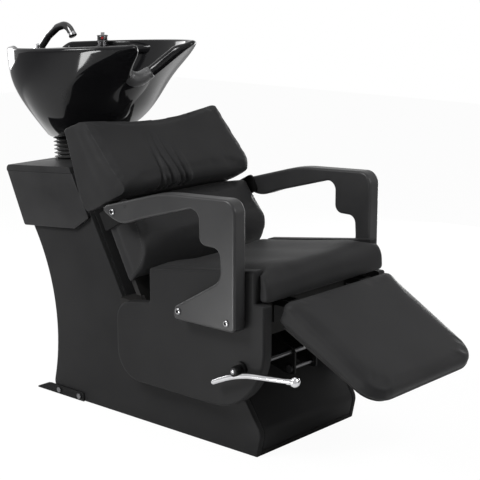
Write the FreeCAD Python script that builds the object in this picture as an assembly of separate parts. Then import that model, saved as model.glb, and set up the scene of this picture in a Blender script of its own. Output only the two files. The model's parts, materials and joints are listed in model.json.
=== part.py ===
"""Salon backwash unit: a reclined seat with a leg rest, and a tilting basin on the column behind it."""
import FreeCAD, Part
import math
import os

# Millimetres and degrees: X across the seat, the sitter faces -Y, Z up, zero on the floor under the plinth

# Shared clearances
overrun = 40.0
soft_clearance = 0.3
running_clearance = 0.06
bolt_clearance = 0.1

# Armrests
arm_span = 600.0
arm_thickness = 43.0
arm_front_y = -405.0
arm_foot_z = 354.0
arm_length = 489.0
arm_height = 336.0
arm_edge_radius = 7.0
arm_outline_shares = (
    (0.002, 0.000, 0.042),
    (0.444, 0.000, 0.045),
    (0.427, 0.101, 0.036),
    (0.098, 0.381, 0.134),
    (0.108, 0.616, 0.066),
    (0.249, 0.619, 0.071),
    (0.249, 0.902, 0.074),
    (0.669, 0.732, 0.089),
    (0.828, 0.649, 0.268),
    (1.000, 0.768, 0.036),
    (0.521, 0.964, 1.190),
    (0.000, 1.000, 0.104),
)
arm_bolt_shares = ((0.057, 0.069), (0.395, 0.072), (0.883, 0.750))
arm_bolt_head_radius = 9.0
arm_bolt_head_height = 5.0
arm_bolt_radius = 4.0
arm_bolt_depth = 18.0
bolt_dome_share = 0.6

# Side skirts
skirt_thickness = 30.0
skirt_front_y = -463.0
skirt_bottom_z = 133.0
skirt_length = 529.0
skirt_height = 378.0
skirt_edge_radius = 7.0
skirt_outline_shares = (
    (0.757, 0.868, 0.026),
    (0.059, 1.000, 0.008),
    (0.059, 0.775, 0.008),
    (0.000, 0.775, 0.016),
    (0.000, 0.000, 0.463),
    (1.000, 0.000, 0.225),
    (1.000, 0.564, 0.146),
    (0.757, 0.616, 0.021),
)

# Pedestal
pedestal_skirt_gap = 21.0
pedestal_side_thickness = 18.0
pedestal_wall = 15.0
plinth_front_y = -398.0
plinth_nose_y = -412.0
plinth_nose_z = 66.0
plinth_nose_radius = 38.0
plinth_foot_radius = 4.0
ledge_front_y = -236.0
ledge_z = 330.0
ledge_front_radius = 12.0
column_foot_y = 89.0
column_lean = 29.4
rear_hollow_radius = 570.0
rear_hollow_waist_y = 374.0
rear_hollow_waist_z = 185.0
rear_foot_radius = 36.0

# Basin shelf on the column, tipped up at the front with everything on it
upper_tilt = 4.4
basin_tilt = 2.4
pivot_y = 482.0
pivot_z = 704.0
shelf_drop = 32.0
shelf_board = 18.0
shelf_cheek = 12.0
shelf_rear_y = 572.0
shelf_rear_lean = 25.0
shelf_rear_radius = 14.0
shelf_front_radius = 3.0
shelf_bottom_rear_z = 494.0
shelf_bottom_front_y = 272.0
shelf_bottom_front_z = 513.0
shelf_nose_z = 551.0
shelf_corner_radius = 8.0
shelf_waste_hole_radius = 36.0

# Seat structure
seat_board = 18.0
seat_board_front_y = -420.0
seat_board_rear_y = 82.0
seat_rail = 18.0
seat_rail_height = 77.0
cleat_height = 40.0
cleat_length = 280.0
cleat_front_y = -226.0

# Seat cushion
seat_front_y = -470.0
seat_front_z = 513.0
seat_rear_z = 452.0
seat_rear_y = -40.0
seat_roll_inset = 8.0
seat_roll_bottom_z = 428.0
seat_roll_radius = 36.0
seat_crown = 9.0
seat_rear_radius = 14.0
seat_low_radius = 12.0
seat_end_radius = 11.0
crown_place_shares = (-1.0, -0.5, 0.0, 0.5, 1.0)

# Backrest, worked out along its own lean from its lower rear corner
back_lean = 28.3
back_foot_y = 24.0
back_foot_z = 408.0
back_board = 15.0
back_board_length = 412.0
back_board_inset = 19.0
back_board_shoulder_z = 372.0
upper_cushion_inset = 2.0
upper_cushion_gap = 4.3
upper_cushion_high = 455.0
upper_cushion_depth = 143.0
upper_cushion_dip = 33.0
upper_outline_shares = (
    (0.06, 0.00, 0.04),
    (1.00, 0.00, 0.08),
    (0.97, 0.56, 0.15),
    (0.00, 1.00, 0.18),
)
lumbar_inset = 8.0
lumbar_low = -8.0
lumbar_depth = 128.0
lumbar_seam_gap = 1.0
lumbar_outline_shares = (
    (0.00, 0.00, 0.06),
    (1.06, 0.00, 0.05),
    (0.97, 0.80, 0.16),
    (0.31, 1.04, 0.45),
    (0.10, 0.60, 0.26),
)
cushion_crown_share = 0.10
gusset_thickness = 6.0
gusset_height = 90.0
gusset_place_share = 0.5
arm_bracket_thickness = 6.0
arm_bracket_height = 52.0
arm_bracket_margin = 21.0
arm_bracket_tab = 54.0
arm_bracket_radius = 12.0

# Leg rest, worked out along its own slope from its hinge
leg_slope = 31.0
leg_hinge_y = -470.0
leg_hinge_z = 416.0
leg_side_gap = 3.0
leg_rear_offset = 10.0
leg_length = 352.0
leg_top_offset = 38.0
leg_rear_depth = 66.0
leg_front_depth = 40.0
leg_front_radius = 70.0
leg_rear_radius = 22.0
leg_inset = 14.0
leg_crown = 5.0
leg_section_shares = (
    (0.45, 1.00, 0.0),
    (0.00, 0.60, 0.0),
    (0.15, 0.20, 0.0),
    (1.00, 0.00, 0.0),
)
leg_board = 9.0
leg_board_inset = 16.0
hinge_place_share = 0.67
hinge_knuckle_radius = 8.0
hinge_pin_radius = 5.0
hinge_pin_head = 2.0
hinge_leaf_width = 30.0
hinge_leaf_thickness = 4.0
hinge_leaf_length = 78.0
hinge_leaf_offset = 2.0
hinge_lug_thickness = 6.0
hinge_lug_gap = 0.6
hinge_plate_thickness = 4.0
hinge_plate_height = 62.0

# Release lever and its cross shaft
lever_pivot_y = -391.0
lever_pivot_z = 252.0
lever_standoff = 23.0
lever_bar_radius = 7.0
lever_tail_y = -318.0
lever_tail_z = 212.0
lever_bend_y = -392.0
lever_bend_z = 238.0
lever_tip_y = -560.0
lever_tip_z = 262.0
lever_bend_radius = 60.0
lever_hub_radius = 13.0
lever_hub_length = 24.0
lever_hub_cap = 4.0
lever_ball_radius = 13.5
lever_ball_neck = 8.0
lever_neck_radius = 9.0
lever_shaft_radius = 7.0
lever_shaft_end_x = 40.0
lever_flange_radius = 19.0
lever_flange_thickness = 8.0
release_finger_length = 44.0
release_finger_width = 14.0
release_finger_thickness = 10.0
release_finger_x = -12.0
release_bracket_thickness = 6.0
release_bracket_xs = (-64.0, 26.0)
release_bracket_foot = 96.0
release_bracket_eye = 15.0
release_bolt_radius = 6.0
release_bolt_head = 6.0
release_bolt_head_radius = 10.0
release_bolt_z = 206.0

# Basin, worked out from its tilt pivot
basin_rim_z = 297.0
basin_rim_y = -112.0
basin_rim_half_length = 300.0
basin_rim_half_width = 250.0
basin_foot_z = 36.0
basin_foot_radius = 94.0
basin_wall = 14.0
basin_floor = 16.0
basin_profile_shares = (
    (0.00, 0.00, 0.00),
    (0.10, 0.21, 0.29),
    (0.30, 0.44, 0.63),
    (0.62, 0.76, 0.88),
    (1.00, 1.00, 1.00),
)
basin_shift_shares = (0.03, 0.42, 0.65, 0.73, 1.00)
basin_front_y = -394.0
basin_front_half_length = 265.0
basin_front_half_width = 308.0
basin_front_shares = ((0.00, 0.27), (0.30, 0.485), (0.62, 0.67), (1.00, 1.00))
notch_half_width = 107.0
notch_floor_half_width = 46.0
notch_depth = 103.0
notch_radius = 80.0
deck_drop = 8.0
deck_thickness = 24.0
deck_side = 40.0
deck_depth = 104.0
neck_pad_thickness = 11.0
neck_pad_height = 32.0
neck_pad_lap = 9.0
waste_hole_radius = 25.0
strainer_radius = 34.0
strainer_thickness = 4.0
strainer_hole_radius = 4.0
strainer_holes = 8
strainer_hole_ring_share = 0.5
tail_radius = 20.0
tail_wall = 3.0
tail_drop = 58.0
tail_nut_radius = 23.0
tail_nut_height = 12.0

# Tilt trunnion between shelf and basin
saddle_radius = 58.0
saddle_thickness = 8.0
ear_x = 32.0
ear_thickness = 7.0
ear_gap = 0.6
ear_radius = 13.0
trunnion_pin_radius = 5.0
trunnion_pin_head_radius = 8.0
trunnion_pin_head = 3.0
tilt_plate_thickness = 5.0
tilt_plate_radius = 59.0

# Bellows round the trunnion
bellows_crest_radius = 80.0
bellows_root_radius = 70.0
bellows_bore_radius = 63.0
bellows_ribs = 6
bellows_collar = 5.0
bellows_rib_shares = (0.10, 0.34, 0.66, 0.90)

# Handset and its socket in the basin deck
handset_x = -32.0
handset_radius = 12.0
handset_setback = 44.0
handset_sink = 27.0
handset_rise = 43.0
handset_stem = 86.0
handset_head = 92.0
handset_head_rise = 24.5
handset_tip = 28.0
handset_tip_fall = 53.0
handset_bend_radius = 30.0
spray_radius = 15.0
spray_length = 9.0
socket_radius = 18.0
socket_length = 32.0
socket_sink = 25.0
socket_clearance = 0.5

# Mixer tap on the far side of the deck
mixer_place_shares = (0.620, 0.535)
mixer_base_radius = 19.0
mixer_base_height = 5.0
mixer_body_radius = 16.0
mixer_body_height = 12.0
mixer_shank_radius = 10.0
mixer_shank_length = 40.0
mixer_cap_radius = 18.0
mixer_cap_height = 17.0
mixer_cap_dome = 5.0
mixer_gap = 0.4
mixer_slot_width = 12.0
mixer_lever_length = 46.0
mixer_lever_thickness = 7.0
mixer_lever_rise = 12.0
mixer_turn = 45.0
mixer_pin_radius = 2.5
mixer_pin_height_share = 0.5
mixer_pin_reach_share = 0.8
indicator_radius = 4.0
indicator_thickness = 1.2

# Floor brackets at the rear of the plinth
foot_strap_thickness = 4.0
foot_strap_front_y = 262.0
foot_strap_height = 26.0
foot_flange_rear_y = 464.0
foot_flange_front_y = 408.0
foot_flange_width = 44.0
foot_hole_radius = 5.5
foot_hole_y = 442.0
foot_screw_radius = 4.0
foot_screw_head_radius = 8.0
foot_screw_head = 4.0
foot_screw_y_shares = (0.12, 0.72)

# Sizes that follow from the ones above
arm_inner_x = arm_span / 2 - arm_thickness
skirt_inner_x = arm_inner_x - skirt_thickness
column_half_width = skirt_inner_x - pedestal_skirt_gap
inner_half_width = column_half_width - pedestal_side_thickness
shelf_half_width = column_half_width + shelf_cheek
seat_board_z = ledge_z + seat_board
seat_rail_top_z = seat_board_z + seat_rail_height
back_board_half_width = arm_inner_x - back_board_inset
upper_cushion_half_width = arm_inner_x - upper_cushion_inset
lumbar_half_width = arm_inner_x - lumbar_inset
gusset_x = back_board_half_width * gusset_place_share
leg_half_width = skirt_inner_x - leg_side_gap
hinge_x = leg_half_width * hinge_place_share
lever_x = -arm_inner_x - lever_standoff
deck_opening_half_width = basin_rim_half_width - deck_side
deck_opening_half_length = basin_rim_half_length - deck_depth
handset_start = (basin_rim_y + basin_rim_half_length - handset_setback, basin_rim_z - handset_sink)
mixer_x = basin_rim_half_width * mixer_place_shares[0]
mixer_y = basin_rim_y + basin_rim_half_length * mixer_place_shares[1]

os.makedirs("parts", exist_ok=True)
VECTOR = FreeCAD.Vector
ALONG_X = VECTOR(1, 0, 0)
PIVOT = VECTOR(0, pivot_y, pivot_z)
LEG_HINGE = VECTOR(0, leg_hinge_y, leg_hinge_z)
BACK_FOOT = VECTOR(0, back_foot_y, back_foot_z)


# Geometry helpers

def write(name, solids):
    """Writes one solid, or a group of separate solids, as a node."""
    shape = solids if isinstance(solids, Part.Shape) else Part.makeCompound(solids)
    shape.exportStep("parts/" + name + ".step")


def in_yz(x):
    """Place for an outline drawn in the YZ plane at x."""
    return lambda y, z: VECTOR(x, y, z)


def in_frame(origin, first, second):
    """Place for an outline drawn along two directions from an origin."""
    return lambda a, b: origin + first * a + second * b


def rounded_wire(corners, place):
    """Closed wire through (a, b, radius) corners, with straight runs and tangent arcs."""
    points = [VECTOR(a, b, 0) for a, b, radius in corners]
    edges = []
    ends = []
    for i, (a, b, radius) in enumerate(corners):
        here = points[i]
        to_last = (points[i - 1] - here).normalize()
        to_next = (points[(i + 1) % len(points)] - here).normalize()
        half = to_last.getAngle(to_next) / 2
        reach = radius / math.tan(half)
        middle = (to_last + to_next).normalize()
        crest = here + middle * (radius / math.sin(half) - radius)
        ends.append((here + to_last * reach, crest, here + to_next * reach, radius))
    flat = [[place(p.x, p.y) for p in end[:3]] + [end[3]] for end in ends]
    for i, (enter, crest, leave, radius) in enumerate(flat):
        if radius > 0:
            edges.append(Part.Arc(enter, crest, leave).toShape())
        following = flat[(i + 1) % len(flat)][0]
        if leave.distanceToPoint(following) > running_clearance:
            edges.append(Part.LineSegment(leave, following).toShape())
    return Part.Wire(edges)


def spread(shares, start, span):
    """Corners from shares of a span, with the radius a share of the span's second side."""
    return [(start[0] + span[0] * a, start[1] + span[1] * b, span[1] * r) for a, b, r in shares]


def prism(corners, place, depth):
    """Solid of an outline pulled along a vector."""
    return Part.Face(rounded_wire(corners, place)).extrude(depth)


def panel(corners, low_x, high_x):
    """Solid of a YZ outline between two places across."""
    return prism(corners, in_yz(low_x), ALONG_X * (high_x - low_x))


def box(low, high):
    """Box between two corners."""
    return Part.makeBox(high[0] - low[0], high[1] - low[1], high[2] - low[2], VECTOR(*low))


def rod(radius, start, direction, length):
    """Cylinder from a point along a direction."""
    return Part.makeCylinder(radius, length, start, direction)


def across(radius, low_x, high_x, y, z):
    """Cylinder that runs across, between two places."""
    return rod(radius, VECTOR(low_x, y, z), ALONG_X, high_x - low_x)


def mirrored(shape):
    """The same piece on the other side."""
    return shape.mirror(VECTOR(0, 0, 0), ALONG_X)


def tipped(shape, tilt=upper_tilt):
    """A piece drawn level about the pivot, put on the tipped shelf."""
    placed = shape.copy()
    placed.translate(PIVOT)
    placed.rotate(PIVOT, ALONG_X, -tilt)
    return placed


def with_basin(shape):
    """A piece drawn level about the pivot, put at the basin's own tilt."""
    return tipped(shape, basin_tilt)


def face_edges(solid, x):
    """Edges of a panel that lie in the plane at x."""
    return [e for e in solid.Edges if abs(e.BoundBox.XMin - x) + abs(e.BoundBox.XMax - x) < soft_clearance]


def softened(solid, radius, *planes):
    """Panel with the outline edges in the given planes rounded."""
    edges = [edge for x in planes for edge in face_edges(solid, x)]
    return solid.makeFillet(radius, edges)


def back_place(x):
    """Place for an outline drawn up the backrest's lean and forward from its rear face."""
    lean = math.radians(back_lean)
    up = VECTOR(0, math.sin(lean), math.cos(lean))
    forward = VECTOR(0, -math.cos(lean), math.sin(lean))
    return in_frame(BACK_FOOT + ALONG_X * x, up, forward)


LEG_ALONG = VECTOR(0, -math.cos(math.radians(leg_slope)), -math.sin(math.radians(leg_slope)))
LEG_DOWN = VECTOR(0, math.sin(math.radians(leg_slope)), -math.cos(math.radians(leg_slope)))


def leg_place(x):
    """Place for an outline drawn along the leg rest and down through it, from its hinge."""
    return in_frame(LEG_HINGE + ALONG_X * x, LEG_ALONG, LEG_DOWN)


# Armrests and their bolts

arm_corners = spread(arm_outline_shares, (arm_front_y, arm_foot_z), (arm_length, arm_height))
arm_bolts_yz = [(arm_front_y + arm_length * a, arm_foot_z + arm_height * b) for a, b in arm_bolt_shares]


def bolt_hole(y, z, radius):
    """Cutter for a bolt that runs across through an arm and into what carries it."""
    return across(radius + bolt_clearance, arm_inner_x - arm_bolt_depth, arm_span / 2 + overrun, y, z)


def make_arm():
    """Left armrest, a thick profiled panel with rounded edges."""
    arm = panel(arm_corners, arm_inner_x, arm_span / 2)
    arm = softened(arm, arm_edge_radius, arm_inner_x, arm_span / 2)
    return arm.cut([bolt_hole(y, z, arm_bolt_radius) for y, z in arm_bolts_yz])


def make_arm_bolt(y, z, depth):
    """Button-headed bolt through the arm."""
    face = arm_span / 2
    head = across(arm_bolt_head_radius, face, face + arm_bolt_head_height, y, z)
    dome = arm_bolt_head_height * bolt_dome_share
    head = head.makeFillet(dome, face_edges(head, face + arm_bolt_head_height))
    return head.fuse(across(arm_bolt_radius, arm_inner_x - depth, face, y, z)).removeSplitter()


arm = make_arm()
write("armrest_left", arm)
write("armrest_right", mirrored(arm))
arm_bolt_depths = (arm_bolt_depth, arm_bolt_depth, arm_bracket_thickness)
arm_bolts = [make_arm_bolt(y, z, d) for (y, z), d in zip(arm_bolts_yz, arm_bolt_depths)]
write("armrest_bolts", arm_bolts + [mirrored(bolt) for bolt in arm_bolts])

# Side skirts

skirt_corners = spread(skirt_outline_shares, (skirt_front_y, skirt_bottom_z), (skirt_length, skirt_height))


def make_skirt():
    """Left upholstered side panel, with the arm's bolt holes."""
    skirt = panel(skirt_corners, skirt_inner_x, arm_inner_x)
    return softened(skirt, skirt_edge_radius, arm_inner_x).cut(
        [bolt_hole(y, z, arm_bolt_radius) for y, z in arm_bolts_yz[:2]]
    )


skirt = make_skirt()
write("side_skirt_left", skirt)
far = arm_span * 2
shaft_hole_radius = lever_shaft_radius + running_clearance
lever_hole = across(shaft_hole_radius, -far, far, lever_pivot_y, lever_pivot_z)
write("side_skirt_right", mirrored(skirt).cut(lever_hole))

# Pedestal panels, all cut from one side outline

column_run = math.tan(math.radians(column_lean))
shelf_run = math.tan(math.radians(upper_tilt))
rear_run = math.tan(math.radians(shelf_rear_lean))
shelf_top_z = pivot_z - shelf_drop / math.cos(math.radians(upper_tilt))
shelf_under_z = shelf_top_z - shelf_board / math.cos(math.radians(upper_tilt))


def shelf_line_meets_front(line_z):
    """Point where the column's front face meets a line at the shelf's tilt."""
    rise = line_z + shelf_run * pivot_y - ledge_z
    y = (column_foot_y + column_run * rise) / (1 + column_run * shelf_run)
    return y, line_z - shelf_run * (y - pivot_y)


def shelf_line_meets_rear(line_z, inset):
    """Point where the shelf's rear face, moved in by an inset, meets a line at the shelf's tilt."""
    rear_top_z = shelf_top_z - shelf_run * (shelf_rear_y - pivot_y)
    start_y = shelf_rear_y - inset / math.cos(math.radians(shelf_rear_lean))
    rise = line_z - rear_top_z - shelf_run * (start_y - pivot_y)
    y = start_y + rear_run * rise / (1 + rear_run * shelf_run)
    return y, line_z - shelf_run * (y - pivot_y)


front_top = shelf_line_meets_front(shelf_under_z)
rear_top = shelf_line_meets_rear(shelf_under_z, shelf_cheek)
rear_low_y = rear_top[0] - rear_run * (rear_top[1] - shelf_bottom_rear_z)
core_corners = [
    (plinth_front_y, 0, plinth_foot_radius),
    (plinth_nose_y, plinth_nose_z, plinth_nose_radius),
    (ledge_front_y, ledge_z, ledge_front_radius),
    (column_foot_y, ledge_z, 0),
    (front_top[0], front_top[1], 0),
    (rear_top[0], rear_top[1], 0),
    (rear_low_y, shelf_bottom_rear_z, 0),
    (rear_low_y, 0, 0),
]
hollow_y = rear_hollow_waist_y + rear_hollow_radius


def core_solid(half_width):
    """The pedestal's side outline pulled across, with its hollowed rear and rounded rear foot."""
    core = panel(core_corners, -half_width, half_width)
    core = core.cut(across(rear_hollow_radius, -arm_span, arm_span, hollow_y, rear_hollow_waist_z))
    floor_edges = [e for e in core.Edges if e.BoundBox.ZMax < running_clearance]
    rear_edge = max(floor_edges, key=lambda e: e.BoundBox.YMin)
    return core.makeFillet(rear_foot_radius, [rear_edge])


core = core_solid(column_half_width)
side = core.common(box((inner_half_width, -far, 0), (column_half_width, far, far)))
write("pedestal_side_left", side)
write("pedestal_side_right", mirrored(side))

middle = core_solid(inner_half_width)
outline_face = min(middle.Faces, key=lambda face: face.BoundBox.XMax)
hollow_face = outline_face.makeOffset2D(-pedestal_wall)
walls = middle.cut(hollow_face.extrude(ALONG_X * inner_half_width * 2))


def walls_within(low_y, high_y, low_z, high_z):
    """The part of the pedestal's inner walls within limits."""
    return walls.common(box((-far, low_y, low_z), (far, high_y, high_z)))


mid_y = (ledge_front_y + column_foot_y) / 2
split_y = (front_top[0] + rear_hollow_waist_y) / 2
cap = tipped(box(
    (-inner_half_width, -far, -shelf_drop - shelf_board - pedestal_wall),
    (inner_half_width, far, -shelf_drop - shelf_board),
)).common(walls)
waste_hole = tipped(rod(shelf_waste_hole_radius, VECTOR(0, 0, -far), VECTOR(0, 0, 1), far))
write("plinth_floor", walls_within(-far, far, 0, pedestal_wall))
write("plinth_front_panel", walls_within(-far, mid_y, pedestal_wall, ledge_z - pedestal_wall))
write("seat_ledge", walls_within(-far, column_foot_y + pedestal_wall, ledge_z - pedestal_wall, ledge_z))
write("column_front_panel", walls_within(-far, split_y, ledge_z, far).cut(cap))
write("pedestal_rear_panel", walls_within(split_y, far, pedestal_wall, far).cut(cap))
write("column_cap", cap.cut(waste_hole))

# Basin shelf: cheeks beside the column, a rear panel between them, and the board on top

rear_outer_top = shelf_line_meets_rear(shelf_under_z, 0)
rear_outer_low_y = rear_outer_top[0] - rear_run * (rear_outer_top[1] - shelf_bottom_rear_z)
nose_y = column_foot_y + column_run * (shelf_nose_z - ledge_z)
cheek_corners = [
    (rear_outer_low_y, shelf_bottom_rear_z, shelf_corner_radius),
    (shelf_bottom_front_y, shelf_bottom_front_z, shelf_corner_radius),
    (nose_y, shelf_nose_z, shelf_corner_radius),
    (front_top[0], front_top[1], 0),
    (rear_outer_top[0], rear_outer_top[1], 0),
]
cheek = panel(cheek_corners, column_half_width, shelf_half_width)
write("shelf_cheek_left", cheek)
write("shelf_cheek_right", mirrored(cheek))
rear_panel_corners = [
    (rear_outer_low_y, shelf_bottom_rear_z, 0),
    (rear_low_y, shelf_bottom_rear_z, 0),
    (rear_top[0], rear_top[1], 0),
    (rear_outer_top[0], rear_outer_top[1], 0),
]
write("shelf_rear_panel", panel(rear_panel_corners, -column_half_width, column_half_width))
board_front = shelf_line_meets_front(shelf_top_z)
board_rear = shelf_line_meets_rear(shelf_top_z, 0)
shelf_corners = [
    (front_top[0], front_top[1], 0),
    (board_front[0], board_front[1], shelf_front_radius),
    (board_rear[0], board_rear[1], shelf_rear_radius),
    (rear_outer_top[0], rear_outer_top[1], 0),
]
write("basin_shelf", panel(shelf_corners, -shelf_half_width, shelf_half_width).cut(waste_hole))

# Seat board, front rail and the cleats that carry the skirts

write("seat_board", box(
    (-skirt_inner_x, seat_board_front_y, ledge_z),
    (skirt_inner_x, seat_board_rear_y, seat_board_z),
))
write("seat_front_rail", box(
    (-skirt_inner_x, seat_board_front_y, seat_board_z),
    (skirt_inner_x, seat_board_front_y + seat_rail, seat_rail_top_z),
))
cleat = box(
    (column_half_width, cleat_front_y, ledge_z - cleat_height),
    (skirt_inner_x, cleat_front_y + cleat_length, ledge_z),
)
write("skirt_cleats", [cleat, mirrored(cleat)])

# Seat cushion: crowned between the skirts, with a front roll over the full width

seat_inner_x = skirt_inner_x - soft_clearance
seat_roll_x = arm_inner_x - seat_roll_inset
roll_rear_y = skirt_front_y + skirt_length * skirt_outline_shares[1][0] - soft_clearance


def seat_section(x, drop):
    """Side outline of the seat at x, with its top lowered by a drop."""
    corners = [
        (seat_rear_y, seat_board_z + soft_clearance, 0),
        (seat_board_front_y + seat_rail + soft_clearance, seat_board_z + soft_clearance, 0),
        (seat_board_front_y + seat_rail + soft_clearance, seat_roll_bottom_z, 0),
        (seat_front_y, seat_roll_bottom_z, seat_low_radius),
        (seat_front_y, seat_front_z - drop, seat_roll_radius),
        (seat_rear_y, seat_rear_z - drop, seat_rear_radius),
    ]
    return rounded_wire(corners, in_yz(x))


def make_seat():
    """Seat cushion with a crown across and a roll at the front that caps the skirts."""
    wires = [seat_section(seat_inner_x * s, seat_crown * s * s) for s in crown_place_shares]
    body = Part.makeLoft(wires, True)
    roll_corners = [
        (roll_rear_y, seat_roll_bottom_z, 0),
        (seat_front_y, seat_roll_bottom_z, seat_low_radius),
        (seat_front_y, seat_front_z - seat_crown, seat_roll_radius),
        (roll_rear_y, seat_front_z - seat_crown, 0),
    ]
    roll = panel(roll_corners, -seat_roll_x, seat_roll_x)
    roll = softened(roll, seat_end_radius, -seat_roll_x, seat_roll_x)
    return body.fuse(roll).removeSplitter()


write("seat_cushion", make_seat())

# Backrest: board, gussets, brackets for the arms, and two cushions

lean = math.radians(back_lean)
board_low = (seat_board_z - back_foot_z) / math.cos(lean) - back_board
back_corners = [
    (board_low, 0, 0),
    (back_board_length, 0, 0),
    (back_board_length, back_board, 0),
    (board_low, back_board, 0),
]
board = prism(back_corners, back_place(-back_board_half_width), ALONG_X * back_board_half_width * 2)
shoulder = box((skirt_inner_x, -far, 0), (far, far, back_board_shoulder_z))
board = board.cut([box((-far, -far, 0), (far, far, seat_board_z)), shoulder, mirrored(shoulder)])
write("back_board", board)


def back_line_y(z):
    """Where the back board's rear face is at a height."""
    return back_foot_y + (z - back_foot_z) * math.tan(lean)


gusset_top_z = seat_board_z + gusset_height
gusset_corners = [
    (back_line_y(seat_board_z), seat_board_z, 0),
    (seat_board_rear_y, seat_board_z, 0),
    (seat_board_rear_y, seat_board_z + gusset_thickness, 0),
    (back_line_y(gusset_top_z) + gusset_thickness, gusset_top_z, 0),
    (back_line_y(gusset_top_z), gusset_top_z, 0),
]
gusset = panel(gusset_corners, gusset_x, gusset_x + gusset_thickness)
write("back_gussets", [gusset, mirrored(gusset)])

bolt_y, bolt_z = arm_bolts_yz[2]
bolt_up = (bolt_y - back_foot_y) * math.sin(lean) + (bolt_z - back_foot_z) * math.cos(lean)
bolt_forward = (bolt_z - back_foot_z) * math.sin(lean) - (bolt_y - back_foot_y) * math.cos(lean)
arm_bracket_low = bolt_up - arm_bracket_height / 2
arm_bracket_top = bolt_up + arm_bracket_height / 2
arm_bracket_reach = bolt_forward + arm_bracket_margin
upper_cushion_low = arm_bracket_top + upper_cushion_gap
plate_x = arm_inner_x - arm_bracket_thickness
bracket_plate = prism(
    [
        (arm_bracket_low, -arm_bracket_thickness, 0),
        (arm_bracket_top, -arm_bracket_thickness, 0),
        (arm_bracket_top, arm_bracket_reach, arm_bracket_radius),
        (arm_bracket_low, arm_bracket_reach, arm_bracket_radius),
    ],
    back_place(plate_x),
    ALONG_X * arm_bracket_thickness,
)
bracket_tab = prism(
    [
        (arm_bracket_low, -arm_bracket_thickness, 0),
        (arm_bracket_top, -arm_bracket_thickness, 0),
        (arm_bracket_top, 0, 0),
        (arm_bracket_low, 0, 0),
    ],
    back_place(arm_inner_x - arm_bracket_tab),
    ALONG_X * arm_bracket_tab,
)
bracket = bracket_plate.fuse(bracket_tab).removeSplitter().cut(bolt_hole(*arm_bolts_yz[2], arm_bolt_radius))
write("arm_brackets", [bracket, mirrored(bracket)])


def back_cushion(corners, half_width):
    """Cushion lofted across from side outlines that grow towards the middle."""
    wires = []
    for s in crown_place_shares:
        grow = 1 - cushion_crown_share * s * s
        grown = [(u, n * grow, r) for u, n, r in corners]
        wires.append(rounded_wire(grown, back_place(half_width * s)))
    return Part.makeLoft(wires, True).cut(board_pocket)


pocket_corners = [
    (-far, -overrun, 0),
    (back_board_length + soft_clearance, -overrun, 0),
    (back_board_length + soft_clearance, back_board + soft_clearance, 0),
    (-far, back_board + soft_clearance, 0),
]
pocket_x = back_board_half_width + soft_clearance
board_pocket = prism(pocket_corners, back_place(-pocket_x), ALONG_X * pocket_x * 2)
lumbar_length = upper_cushion_low - lumbar_low
lumbar_corners = [
    (lumbar_low + lumbar_length * a, lumbar_depth * b, lumbar_depth * r)
    for a, b, r in lumbar_outline_shares
]
write("lumbar_cushion", back_cushion(lumbar_corners, lumbar_half_width))
upper_length = upper_cushion_high - upper_cushion_low
upper_corners = [
    (upper_cushion_low + lumbar_seam_gap + upper_length * a, upper_cushion_depth * b,
     upper_cushion_depth * r)
    for a, b, r in upper_outline_shares
]
upper = back_cushion(upper_corners, upper_cushion_half_width)
dip_radius = (upper_cushion_half_width ** 2 + upper_cushion_dip ** 2) / (2 * upper_cushion_dip)
back_forward = back_place(0)(0, 1) - back_place(0)(0, 0)
dip_centre = back_place(0)(upper_cushion_high - upper_cushion_dip + dip_radius, -overrun)
dip = rod(dip_radius, dip_centre, back_forward, upper_cushion_depth + overrun * 2)
write("upper_back_cushion", upper.cut(dip))

# Leg rest: pad, board and hinges

leg_taper = (leg_rear_depth - leg_front_depth) / leg_length
leg_front = leg_rear_offset + leg_length


def leg_section(inset, depth_share, lift):
    """Plan outline of the pad, drawn in by an inset, at a share of its depth."""
    rear = leg_rear_offset + inset
    front = leg_front - inset
    side = leg_half_width - inset
    slope = leg_taper * depth_share
    level = leg_rear_depth * depth_share - leg_top_offset - lift + slope * leg_rear_offset
    along = LEG_ALONG - LEG_DOWN * slope
    place = in_frame(LEG_HINGE + LEG_DOWN * level, along, ALONG_X)
    corners = [
        (rear, -side, leg_rear_radius),
        (front, -side, leg_front_radius - inset),
        (front, side, leg_front_radius - inset),
        (rear, side, leg_rear_radius),
    ]
    return rounded_wire(corners, place)


pad_wires = [leg_section(leg_inset * s, d, leg_crown * l) for s, d, l in leg_section_shares]
write("leg_rest_pad", Part.makeLoft(pad_wires, True))
leg_board_face = Part.Face(leg_section(leg_board_inset, 1, 0))
write("leg_rest_board", leg_board_face.extrude(LEG_DOWN * leg_board))


def leg_under(a):
    """How far below the hinge the board's underside is, a distance along."""
    return leg_rear_depth - leg_top_offset + leg_board - leg_taper * (a - leg_rear_offset)


def make_leaf():
    """Bent hinge leaf that wraps the pad's rear edge and runs under its board."""
    near = leg_rear_offset - hinge_leaf_offset - hinge_leaf_thickness
    bend = near + hinge_leaf_thickness
    end = bend + hinge_leaf_length
    corners = [
        (near, 0, 0),
        (bend, 0, 0),
        (bend, leg_under(bend), 0),
        (end, leg_under(end), 0),
        (end, leg_under(end) + hinge_leaf_thickness, 0),
        (near, leg_under(near) + hinge_leaf_thickness, 0),
    ]
    strap = prism(corners, leg_place(hinge_x - hinge_leaf_width / 2), ALONG_X * hinge_leaf_width)
    low_x = hinge_x - hinge_leaf_width / 2
    knuckle = across(hinge_knuckle_radius, low_x, low_x + hinge_leaf_width, leg_hinge_y, leg_hinge_z)
    bore = across(hinge_pin_radius + running_clearance, -far, far, leg_hinge_y, leg_hinge_z)
    return strap.fuse(knuckle).removeSplitter().cut(bore)


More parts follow.
